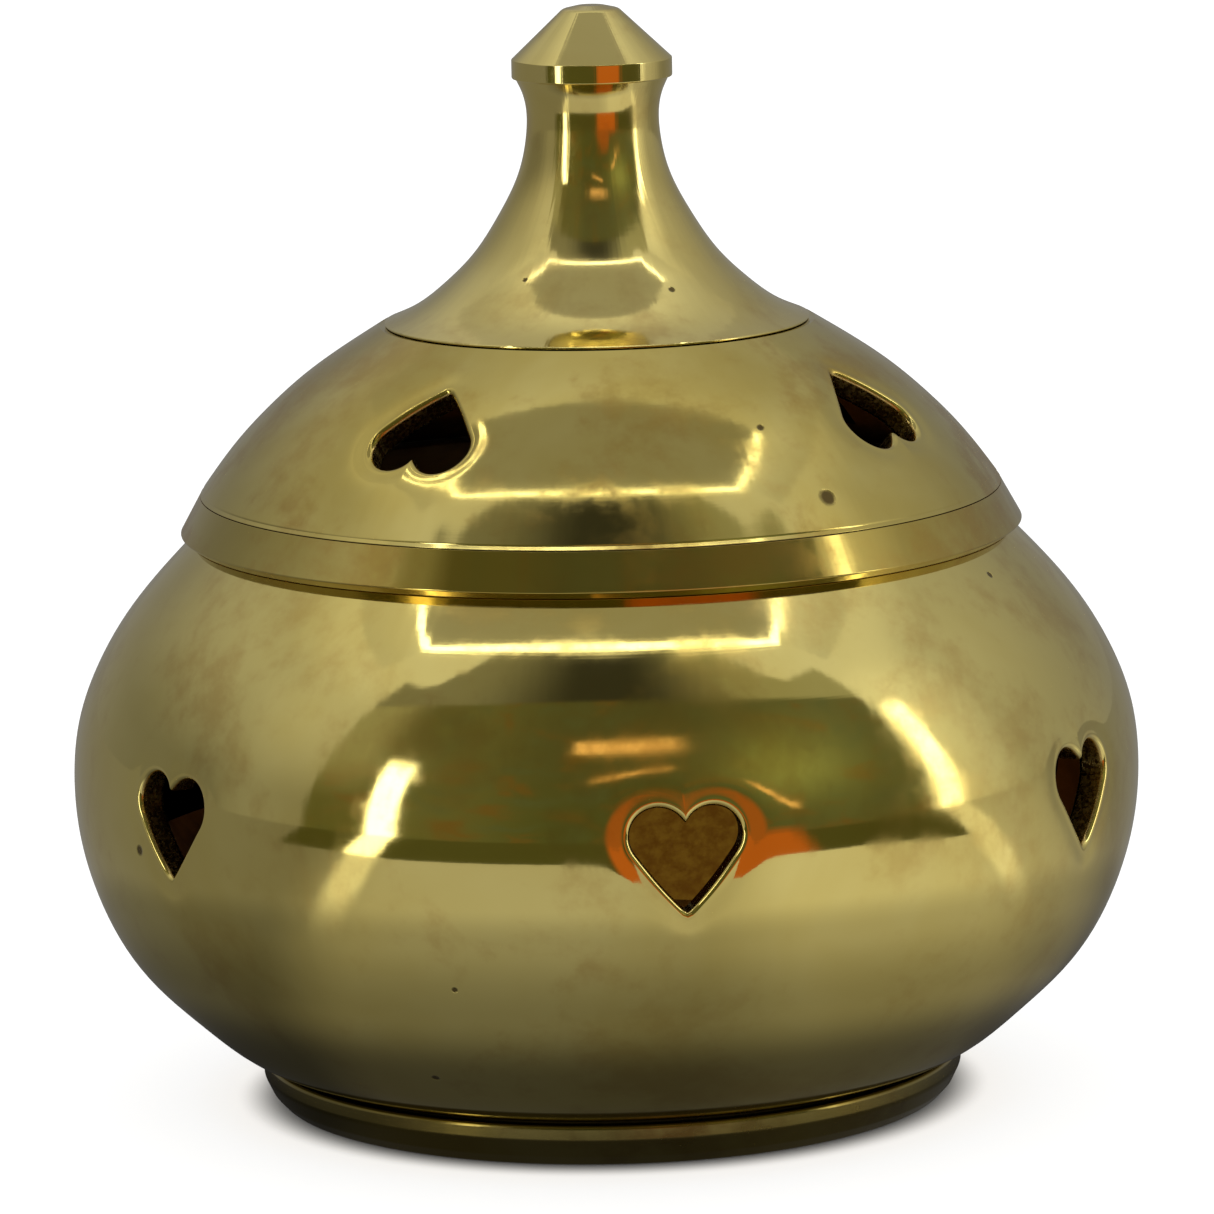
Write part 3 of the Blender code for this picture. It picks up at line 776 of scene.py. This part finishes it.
# --------------------------------------------------------------------- bowl
bowl_outer = Curve(natural_spline([
    (25.45, BOWL_BOTTOM + 0.05), (26.7, 3.95), (30.1, 6.6), (34.1, 10.5), (36.8, 15.4),
    (38.1, 20.2), (38.34, 24.3), (37.9, 28.0), (36.8, 31.1), (35.84, 33.0),
    (34.6, 35.0), (33.05, 37.0), (31.25, 39.0), (29.45, BOWL_TOP - 0.05)]))
inner_pts = bowl_outer.offset_inward(BOWL_WALL)
keep = (inner_pts[:, 1] > BOWL_BOTTOM + 3.2) & (inner_pts[:, 1] < 38.5)
bowl_inner = Curve(inner_pts[keep][::-1])
floor_in = BOWL_BOTTOM + 2.4
before = [(0.0, BOWL_BOTTOM, 0), (24.6, BOWL_BOTTOM, 0.15)]
between = [(29.36, BOWL_TOP, 0.03), (26.6, BOWL_TOP, 0.3), (26.6, 40.0, 0.4),
           (float(bowl_inner.p[0, 0]) - 0.9, 39.2, 0.5)]
after = [(float(bowl_inner.p[-1, 0]) - 1.6, floor_in, 1.0), (0.0, floor_in, 0)]
bowl = pierced_shell(
    "bowl_pierced", before, bowl_outer, between, bowl_inner, after, False,
    BOWL_HEARTS, float(bowl_outer.s_at_z(BOWL_HEART_Z)),
    float(bowl_inner.s_at_z(BOWL_HEART_Z)), False, 7.4, 7.0, 24, 0,
    [m_bowl, m_hot, m_cut])
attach(bowl, "burner_base")
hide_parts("bowl")

# ---------------------------------------------------------------------- lid
rim_rows = filleted([
    (24.6, SPIGOT_BOTTOM, 0.2), (26.2, SPIGOT_BOTTOM, 0.45),
    (26.2, BOWL_TOP + SEAM, 0.1), (29.46, BOWL_TOP + SEAM, 0.06), (30.17, 41.45, 0.10),
    (28.72, RIM_TOP + 0.12, 0.04), (24.6, RIM_TOP + 0.12, 0.2)], True, 6)
rim_outside = [r > 28.0 for r, _, _, _ in rim_rows]
rim = lathe("lid_rim_turned", rim_rows, True, [m_rim, m_hot_lid], 288,
            lambda j: 0 if rim_outside[j] and rim_outside[(j + 1) % len(rim_outside)] else 1)
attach(rim, "lid")
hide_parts("lid_rim")

DOME_BOTTOM = RIM_TOP + 0.12 + SEAM
dome_outer = Curve(natural_spline([
    (28.46, DOME_BOTTOM + 0.40), (27.4, 46.0), (25.8, 48.0), (23.83, 50.0), (21.6, 52.0),
    (18.95, 53.9), (15.6, CROWN_TOP)]))
inner_pts = dome_outer.offset_inward(DOME_WALL)
keep = (inner_pts[:, 1] > DOME_BOTTOM + 0.9) & (inner_pts[:, 1] < CROWN_TOP - DOME_WALL - 0.35)
dome_inner = Curve(inner_pts[keep][::-1])
under = CROWN_TOP - DOME_WALL
heart_s = float(np.interp(-LID_HEART_R, -dome_outer.p[:, 0], dome_outer.s))
hr, hz = dome_outer.at(heart_s)
hnr, hnz = dome_outer.normal(heart_s)
in_z = float(hz - hnz * DOME_WALL)
before = [(26.5, DOME_BOTTOM, 0.1), (28.72, DOME_BOTTOM, 0.03), (28.49, DOME_BOTTOM + 0.26, 0.03)]
between = [(15.5, CROWN_TOP - 0.02, 0.02), (STUD_HOLE_R, CROWN_TOP - 0.02, 0.1),
           (STUD_HOLE_R, under, 0.1), (float(dome_inner.p[0, 0]) - 1.0, under, 0.6)]
dome = pierced_shell(
    "lid_dome_pierced", before, dome_outer, between, dome_inner, [], True,
    LID_HEARTS, heart_s, float(dome_inner.s_at_z(in_z)), True, 6.6, 6.0, 24, 0,
    [m_lid, m_hot_lid, m_cut])
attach(dome, "lid")
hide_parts("lid_dome")

# ------------------------------------------------------------------- finial
flare = Curve(natural_spline([
    (15.2, CROWN_TOP + 0.22), (13.3, 57.05), (10.8, 58.9), (8.86, 60.8), (6.83, 63.8),
    (5.38, 66.7), (4.8, 69.2), (4.7, 71.0), (4.95, 72.4), (5.45, 73.45)], soften=0.5))
flare_rows = curve_rows(flare, np.linspace(0.02, flare.length, 90))
finial_rows = filleted([
    (STUD_HOLE_R, CROWN_TOP + 0.04, 0.1), (15.12, CROWN_TOP + 0.04, 0.04), *flare_rows,
    (5.72, 73.5, 0.12), (5.72, 74.82, 0.10), (2.0, TOTAL_TOP - 0.25, 0.8),
    (0.9, TOTAL_TOP, 1.2), (0.0, TOTAL_TOP, 0), (0.0, 64.3, 0), (STUD_HOLE_R, 63.8, 0.1)],
    True, 6)
finial = lathe("finial_turned", finial_rows, True, [m_finial], 192)
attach(finial, "lid")
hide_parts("finial")

# ---------------------------------------------------- stud, washer and nut
stud_lo, stud_hi = (v.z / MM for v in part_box("finial_stud"))
pitch = 0.7
threads = int((stud_hi - stud_lo - 0.8) / pitch)
stud_pts = [(0.0, stud_lo, 0), (STUD_R - 0.45, stud_lo, 0.05)]
for k in range(threads):
    z0 = stud_lo + 0.35 + k * pitch
    stud_pts += [(STUD_R, z0 + 0.22, 0.04), (STUD_R, z0 + 0.36, 0.04), (STUD_R - 0.4, z0 + 0.60, 0.05)]
stud_pts += [(STUD_R - 0.4, stud_hi, 0.05), (0.0, stud_hi, 0)]
stud = lathe("finial_stud_threaded", filleted(stud_pts, False, 3), False, [m_fix], 48)
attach(stud, "lid")
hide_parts("finial_stud")

w_lo, w_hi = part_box("finial_washer")
washer_rows = filleted([
    (STUD_HOLE_R, w_lo.z / MM, 0.12), (w_hi.x / MM, w_lo.z / MM, 0.2),
    (w_hi.x / MM, w_hi.z / MM + 0.2, 0.2), (STUD_HOLE_R, w_hi.z / MM + 0.2, 0.12)], True, 5)
washer = lathe("finial_washer_turned", washer_rows, True, [m_fix], 96)
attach(washer, "lid")
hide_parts("finial_washer")

n_lo, n_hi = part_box("finial_nut")
n_bottom, n_top = n_lo.z / MM, n_hi.z / MM + 0.2
flats = (n_hi.x - n_lo.x) / MM
b = Builder()
sides = 72
levels = [(STUD_HOLE_R + 0.25, n_bottom), (flats / 2 * 0.96, n_bottom), (None, n_bottom + 0.35),
          (None, n_top - 0.35), (flats / 2 * 0.96, n_top), (STUD_HOLE_R + 0.25, n_top),
          (STUD_HOLE_R - 0.02, n_top - 0.25), (STUD_HOLE_R - 0.02, n_bottom + 0.25)]
loops = []
for r, z in levels:
    row = []
    for k in range(sides):
        a = 2 * math.pi * k / sides
        near = (a + math.pi / 6) % (math.pi / 3) - math.pi / 6
        rr = flats / 2 / math.cos(near) if r is None else r
        row.append(b.add((rr * math.cos(a), rr * math.sin(a), z), (math.cos(a), math.sin(a), 0)))
    loops.append(row)
for j in range(len(loops)):
    lo, hi = loops[j], loops[(j + 1) % len(loops)]
    for k in range(sides):
        w = (k + 1) % sides
        b.face(lo[k], lo[w], hi[w], hi[k])
mesh = bpy.data.meshes.new("finial_nut_hex")
mesh.from_pydata(b.v, [], b.f)
mesh.materials.append(m_fix)
mesh.shade_smooth()
mesh.set_sharp_from_angle(angle=math.radians(25))
nut = bpy.data.objects.new("finial_nut_hex", mesh)
bpy.context.scene.collection.objects.link(nut)
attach(nut, "lid")
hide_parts("finial_nut")

# -------------------------------------------------------------------- grate
g_lo, g_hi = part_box("grate_plate")
plate_r, plate_z0, plate_z1 = g_hi.x / MM, g_lo.z / MM, g_hi.z / MM
foot_nodes = ["grate_foot_1", "grate_foot_2", "grate_foot_3"]
centres = []
for node in foot_nodes:
    lo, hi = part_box(node)
    centres.append(((lo.x + hi.x) / 2 / MM, (lo.y + hi.y) / 2 / MM))
plate_rows = filleted([
    (0.0, plate_z0, 0), (plate_r, plate_z0, 0.35), (plate_r, plate_z1 + 0.0, 0.35),
    (plate_r - 1.6, plate_z1, 0.2), (0.0, plate_z1, 0)], False, 5)
plate = lathe("grate_plate_punched", plate_rows, False, [m_grate], 144)
plate.data.shade_smooth()
bm = bmesh.new()
holes = [(0.0, 0.0, 1.15)]
for ring_r, count in ((6.0, 6), (12.0, 12)):
    for k in range(count):
        a = 2 * math.pi * (k + 0.5) / count
        holes.append((ring_r * math.cos(a), ring_r * math.sin(a), 1.15))
holes += [(x, y, 1.15) for x, y in centres]
for x, y, r in holes:
    bmesh.ops.create_cone(
        bm, cap_ends=True, segments=32, radius1=r * MM, radius2=r * MM, depth=0.006,
        matrix=Matrix.Translation((x * MM, y * MM, (plate_z0 + plate_z1) / 2 * MM)))
cut_mesh = bpy.data.meshes.new("grate_punch")
bm.to_mesh(cut_mesh)
bm.free()
punch = bpy.data.objects.new("grate_punch", cut_mesh)
bpy.context.scene.collection.objects.link(punch)
mod = plate.modifiers.new("holes", "BOOLEAN")
mod.object, mod.operation, mod.solver = punch, "DIFFERENCE", "EXACT"
bpy.context.view_layer.update()
done = bpy.data.meshes.new_from_object(plate.evaluated_get(bpy.context.evaluated_depsgraph_get()))
plate.modifiers.clear()
plate.data = done
done.name = "grate_plate_punched"
done.shade_smooth()
done.set_sharp_from_angle(angle=math.radians(30))
bpy.data.objects.remove(punch, do_unlink=True)
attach(plate, "grate")
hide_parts("grate_plate")

for node, (x, y) in zip(foot_nodes, centres):
    lo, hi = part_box(node)
    z0, z1 = lo.z / MM, hi.z / MM
    rows = filleted([
        (0.0, z0, 0), (1.9, z0, 0.35), (1.9, plate_z0 - 0.05, 0.2), (0.95, plate_z0 - 0.05, 0.02),
        (0.95, plate_z1 + 0.05, 0.02), (1.75, plate_z1 + 0.05, 0.1), (1.6, z1 - 0.25, 0.35),
        (0.7, z1, 0.6), (0.0, z1, 0)], False, 4)
    pin = lathe(node + "_riveted", rows, False, [m_grate], 40)
    pin.data.transform(Matrix.Translation((x * MM, y * MM, 0)))
    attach(pin, "grate")
    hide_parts(node)

# -------------------------------------------------------------------- stage
DEG = 180 / math.pi


def azimuth_of(g, x, y):
    return g.math("MULTIPLY", g.math("ARCTAN2", x, g.math("MULTIPLY", y, -1.0)), DEG)


def length_of(g, x, y):
    return g.math("SQRT", g.math("ADD", g.math("MULTIPLY", x, x), g.math("MULTIPLY", y, y)))


def between_values(g, lo, hi, value, soft):
    rise = g.ramp(value, lo - soft, lo + soft)
    fall = g.ramp(value, hi - soft, hi + soft, 1.0, 0.0)
    return g.math("MULTIPLY", rise, fall)


def stage_sheet(name, x0, x1, y0, y1, z, mat, parts=1):
    b = Builder()
    grid = [[b.add((x0 + (x1 - x0) * i / parts, y0 + (y1 - y0) * j / parts, z), (0, 0, 1))
             for i in range(parts + 1)] for j in range(parts + 1)]
    for j in range(parts):
        for i in range(parts):
            b.face(grid[j][i], grid[j][i + 1], grid[j + 1][i + 1], grid[j + 1][i])
    obj = b.object(name, [mat])
    return obj


def position_glow(name):
    mat = bpy.data.materials.new(name)
    mat.use_nodes = True
    nt = mat.node_tree
    nt.nodes.clear()
    g = G(nt)
    out = g.new("ShaderNodeOutputMaterial")
    glow = g.new("ShaderNodeEmission")
    g.put(out.inputs[0], glow.outputs[0])
    place = g.new("ShaderNodeNewGeometry").outputs["Position"]
    return mat, g, glow, g.separate(place)


# the table: pale and bright to the eye, its glow dimmed and warmed close round the foot ring as a painted contact
# shadow;
# in the brass it is a painted reflection that darkens towards the burner's painted shadow, carries painted streaks of
# the upright lamps' light and ends at its front edge
mat = bpy.data.materials.new("studio_floor")
mat.use_nodes = True
nt = mat.node_tree
nt.nodes.clear()
g = G(nt)
out = g.new("ShaderNodeOutputMaterial")
lp = g.new("ShaderNodeLightPath")
x, y, z = g.separate(g.new("ShaderNodeNewGeometry").outputs["Position"])
rho = length_of(g, x, y)
az = azimuth_of(g, x, y)
white = g.new("ShaderNodeBsdfDiffuse")
white.inputs["Color"].default_value = (0.34, 0.34, 0.338, 1.0)
# painted contact shadow: this glow falls almost to nothing within a few millimetres of the foot ring and is tinted
# warm there
glow_with_painted_contact_shadow = g.new("ShaderNodeEmission")
g.put(glow_with_painted_contact_shadow.inputs["Strength"], g.ramp(rho, 0.0238, 0.0275, 0.04, 0.80))
g.put(glow_with_painted_contact_shadow.inputs["Color"], g.mix(g.ramp(rho, 0.025, 0.032), (1.0, 0.97, 0.93), (1.0, 1.0, 1.0)))
seen = g.new("ShaderNodeAddShader")
g.put(seen.inputs[0], white.outputs[0])
g.put(seen.inputs[1], glow_with_painted_contact_shadow.outputs[0])
# painted shade: the table's brightness in the brass rises away from the burner
level = g.math("ADD", g.ramp(rho, 0.028, 0.041, 0.055, 0.19), g.ramp(rho, 0.040, 0.062, 0.0, 0.15))
level = g.math("ADD", level, g.ramp(rho, 0.060, 0.085, 0.0, 0.18))
# painted light: brighter towards the front right, darker to the left and towards the back
side = g.math("ADD", 1.0, g.math("MULTIPLY", between_values(g, 22.0, 78.0, az, 12.0), 0.40))
side = g.math("SUBTRACT", side, g.math("MULTIPLY", g.ramp(az, -62.0, -40.0, 1.0, 0.0), 0.55))
side = g.math("SUBTRACT", side, g.math("MULTIPLY", g.ramp(az, 85.0, 125.0), 0.55))
level = g.math("MULTIPLY", level, side)
# painted streaks of the upright lamps' light across the table
for lo, hi in ((-51.5, -45.5), (75.0, 80.5)):
    painted_lamp_streak = g.math("MULTIPLY", between_values(g, lo, hi, az, 2.0), g.ramp(rho, 0.055, 0.120, 0.0, 0.9))
    level = g.math("ADD", level, painted_lamp_streak)
col = g.mix(level, (0, 0, 0), (1.0, 0.975, 0.93))
edge = g.math("ADD", g.ramp(az, 50.0, 75.0, 0.203, 0.163), g.ramp(az, -68.0, -40.0, 0.042, 0.0))
beyond = g.ramp(g.math("SUBTRACT", rho, edge), -0.0015, 0.0015)
beyond = g.math("MULTIPLY", beyond, between_values(g, -67.5, 74.0, az, 0.6))
past = g.mix(g.math("MULTIPLY", between_values(g, 7.0, 40.0, az, 3.0), 0.9), (0.085, 0.085, 0.030),
             (0.60, 0.15, 0.025))
past = g.mix(between_values(g, -52.5, -45.5, az, 1.0), past, (3.5, 3.4, 3.2))
col = g.mix(beyond, col, past)
painted_reflection_of_table = g.new("ShaderNodeEmission")
g.put(painted_reflection_of_table.inputs["Color"], col)
pick = g.new("ShaderNodeMixShader")
g.put(pick.inputs[0], lp.outputs["Is Glossy Ray"])
g.put(pick.inputs[1], seen.outputs[0])
g.put(pick.inputs[2], painted_reflection_of_table.outputs[0])
g.put(out.inputs[0], pick.outputs[0])
mat.cycles.emission_sampling = "NONE"
floor = stage_sheet("studio_floor", -3000.0, 3000.0, -3000.0, 3000.0, -0.05, mat, 8)

# the tent's roof behind a bowed lamp bar, with short bars down its sides


def bow(x):
    return -136.0 + 58.0 * min(abs(x) / 200.0, 1.0) ** 2


def stage_strip(name, left, right, z, mat):
    """A flat strip between two point lists (x, y) in millimetres."""
    b = Builder()
    ids = [[b.add((x, y, z), (0, 0, 1)) for x, y in line] for line in (left, right)]
    for k in range(len(left) - 1):
        b.face(ids[0][k], ids[0][k + 1], ids[1][k + 1], ids[1][k])
    obj = b.object(name, [mat])
    return obj


mat, g, glow, (x, y, z) = position_glow("tent_roof")
gap_x = g.math("SUBTRACT", g.math("ABSOLUTE", x), 0.199)
gap_y = g.math("SUBTRACT", y, 0.045)
off = g.math("MAXIMUM", g.math("MAXIMUM", gap_x, gap_y), 0.0)
near = g.math("POWER", 2.718, g.math("DIVIDE", off, -0.110))
value = g.math("MULTIPLY_ADD", near, 0.34, 0.42)
inside = g.ramp(g.math("MAXIMUM", gap_x, gap_y), -0.002, 0.002, 1.0, 0.0)
g.put(glow.inputs["Color"], g.mix(g.math("ADD", g.math("MULTIPLY", inside, g.math("SUBTRACT", 0.36, value)), value),
                                  (0, 0, 0), (1.0, 0.985, 0.95)))
mat.cycles.emission_sampling = "NONE"
across = [-270.0 + 540.0 * k / 54 for k in range(55)]
roof = stage_strip("tent_roof", [(v, bow(v)) for v in across], [(v, 350.0) for v in across], 390.0, mat)
lamp_mat, g, glow, (x, y, z) = position_glow("lamp_bar")
dots = g.noise(g.combine(x, y, 0.0), 260.0, 1.0, 0.5)
g.put(glow.inputs["Color"], g.mix(g.ramp(dots, 0.35, 0.65), (3.4, 3.3, 3.1), (5.6, 5.5, 5.2)))
across = [-197.0 + 394.0 * k / 40 for k in range(41)]
lamps = [stage_strip("lamp_front", [(v, bow(v) - 4.0) for v in across], [(v, bow(v) + 6.0) for v in across],
                     389.0, lamp_mat),
         stage_strip("lamp_left", [(-203.0, -80.0), (-203.0, 45.0)], [(-193.0, -80.0), (-193.0, 45.0)],
                     389.0, lamp_mat),
         stage_strip("lamp_right", [(185.0, -80.0), (185.0, 45.0)], [(195.0, -80.0), (195.0, 45.0)],
                     389.0, lamp_mat)]
for obj in [roof, *lamps]:
    obj.visible_camera = obj.visible_diffuse = obj.visible_shadow = False
    obj.visible_transmission = obj.visible_volume_scatter = False

# -------------------------------------------------------------------- light
world = bpy.data.worlds.new("studio")
bpy.context.scene.world = world
world.use_nodes = True
world.cycles.sampling_method = "NONE"
nt = world.node_tree
nt.nodes.clear()
g = G(nt)
out = g.new("ShaderNodeOutputWorld")
bg = g.new("ShaderNodeBackground")
nt.links.new(bg.outputs[0], out.inputs[0])
dx, dy, dz = g.separate(g.new("ShaderNodeTexCoord").outputs["Generated"])
azim = azimuth_of(g, dx, dy)
elev = g.math("MULTIPLY", g.math("ARCTAN2", dz, length_of(g, dx, dy)), DEG)


def patch(a0, a1, e0, e1, soft_a=1.5, soft_e=1.5):
    return g.math("MULTIPLY", between_values(g, a0, a1, azim, soft_a), between_values(g, e0, e1, elev, soft_e))


# cloth walls, brighter towards the front right and upward
right = g.math("ADD", g.ramp(azim, 82.0, 102.0, 0.82, 0.42, smooth=False),
               g.ramp(azim, 102.0, 150.0, 0.0, -0.16, smooth=False))
left = g.math("ADD", g.ramp(azim, -105.0, -78.0, 0.20, 0.30), g.ramp(azim, -155.0, -120.0, 0.05, 0.0))
up = g.ramp(elev, 8.0, 42.0)
right = g.math("ADD", right, g.math("MULTIPLY", up, 0.11))
left = g.math("ADD", left, g.math("MULTIPLY", up, 0.29))
wall = g.math("ADD", left, g.math("MULTIPLY", g.ramp(azim, -0.5, 0.5), g.math("SUBTRACT", right, left)))
wall = g.math("ADD", wall, g.math("MULTIPLY", g.ramp(elev, 40.0, 54.0), g.math("SUBTRACT", 0.74, wall)))
sky = g.mix(wall, (0, 0, 0), (1.0, 0.985, 0.95))
# the tent's open front with the dark room beyond it
bend = g.math("DIVIDE", azim, 60.0)
arc = g.math("SUBTRACT", elev, g.math("SUBTRACT", 58.0, g.math("MULTIPLY", g.math("MULTIPLY", bend, bend), 10.5)))
room = g.mix(g.ramp(elev, 4.0, 48.0), (0.092, 0.102, 0.042), (0.100, 0.102, 0.052))
room = g.mix(g.ramp(azim, -36.0, -10.0, 0.5, 0.0), room, (0.18, 0.170, 0.080))
room = g.mix(g.math("MULTIPLY", g.ramp(azim, 10.0, 60.0), 0.4), room, (0.18, 0.19, 0.12))
mottle = g.noise(g.combine(g.math("MULTIPLY", azim, 0.09), g.math("MULTIPLY", elev, 0.11), 3.7), 1.0, 3.0, 0.6, 0.5)
room = g.mix(g.ramp(mottle, 0.50, 0.68, 0.0, 0.75), room, (0.17, 0.10, 0.030))
room = g.mix(g.ramp(mottle, 0.46, 0.32, 0.0, 0.5), room, (0.10, 0.125, 0.085))
ax = g.math("DIVIDE", g.math("SUBTRACT", azim, 42.0), 15.0)
ay = g.math("DIVIDE", g.math("SUBTRACT", elev, 28.0), 13.0)
hump = g.math("POWER", 2.718, g.math("MULTIPLY", g.math("ADD", g.math("MULTIPLY", ax, ax), g.math("MULTIPLY", ay, ay)), -1.0))
room = g.mix(g.math("MULTIPLY", hump, 0.85), room, (0.34, 0.37, 0.17))
room = g.mix(g.math("MULTIPLY", g.ramp(azim, -60.0, -50.0, 1.0, 0.0), g.ramp(elev, 10.0, 34.0)), room,
             (0.34, 0.33, 0.24))
room = g.mix(g.ramp(arc, -0.8, 0.8), room,
             g.mix(g.ramp(g.math("ABSOLUTE", azim), 8.0, 50.0), (0.042, 0.042, 0.036),
                   g.mix(g.ramp(azim, 15.0, 50.0), (0.23, 0.225, 0.19), (0.36, 0.355, 0.27))))
# a few warm things standing in the room
lean = g.math("SUBTRACT", elev, g.math("MULTIPLY", azim, 0.25))
room = g.mix(g.math("MULTIPLY", between_values(g, -8.0, 19.0, azim, 0.5), between_values(g, 39.8, 43.8, elev, 0.4)),
             room, (1.25, 0.78, 0.42))
room = g.mix(g.math("MULTIPLY", between_values(g, -3.0, 15.0, azim, 0.5), between_values(g, 28.6, 30.4, lean, 0.3)),
             room, (1.05, 0.62, 0.30))
lean = g.math("ADD", elev, g.math("MULTIPLY", azim, 1.15))
room = g.mix(g.math("MULTIPLY", between_values(g, 30.5, 41.0, azim, 0.6), between_values(g, 56.2, 59.2, lean, 0.5)),
             room, (1.10, 0.68, 0.34))
hx = g.math("DIVIDE", g.math("SUBTRACT", azim, 17.0), 13.0)
hy = g.math("DIVIDE", elev, 15.0)
blob = g.ramp(g.math("ADD", g.math("MULTIPLY", hx, hx), g.math("MULTIPLY", hy, hy)), 0.25, 1.15, 1.0, 0.0)
low = g.math("MULTIPLY", between_values(g, 12.0, 40.0, azim, 3.0), g.ramp(elev, 0.0, 3.0, 1.0, 0.0))
room = g.mix(g.math("MULTIPLY", g.math("MAXIMUM", blob, low), 0.80), room, (0.48, 0.125, 0.022))
top = g.math("SUBTRACT", 72.0, g.ramp(g.math("ABSOLUTE", azim), 46.0, 62.0, 0.0, 18.0))
opening = g.math("MULTIPLY", between_values(g, -67.5, 73.0, azim, 1.0),
                 g.ramp(g.math("SUBTRACT", elev, top), -1.0, 1.0, 1.0, 0.0))
sky = g.mix(opening, sky, room)
# upright lamps at the sides of the opening
sky = g.mix(patch(-52.5, -45.5, -30.0, 31.0, 1.0, 2.5), sky, (5.0, 4.9, 4.7))
sky = g.mix(patch(75.2, 80.8, -30.0, 37.0, 1.0, 2.5), sky, (4.0, 3.9, 3.7))

lp = g.new("ShaderNodeLightPath")
shown = g.mix(lp.outputs["Is Glossy Ray"], (1.02, 1.02, 1.02), sky)
shown = g.mix(lp.outputs["Is Camera Ray"], shown, (1.0, 1.0, 1.0))
g.put(bg.inputs["Color"], shown)
bg.inputs["Strength"].default_value = 1.0

# ------------------------------------------------------------------- camera
cam_data = bpy.data.cameras.new("camera")
cam_data.sensor_width = 36.0
cam_data.lens = 7570.5 / 1214 * 36.0
cam_data.clip_start, cam_data.clip_end = 0.05, 20.0
cam = bpy.data.objects.new("camera", cam_data)
bpy.context.scene.collection.objects.link(cam)
cam.rotation_mode = "QUATERNION"
pose = (Matrix.Rotation(math.radians(-0.03), 4, "Z") @ Matrix.Rotation(math.radians(90 - 9.90), 4, "X")
        @ Matrix.Rotation(math.radians(-1.2), 4, "Z"))
cam.rotation_quaternion = pose.to_quaternion()
cam.location = (0.0, -0.5364, 0.12883)
bpy.context.scene.camera = cam
bpy.context.scene.view_settings.view_transform = "Standard"
bpy.context.scene.view_settings.look = "None"
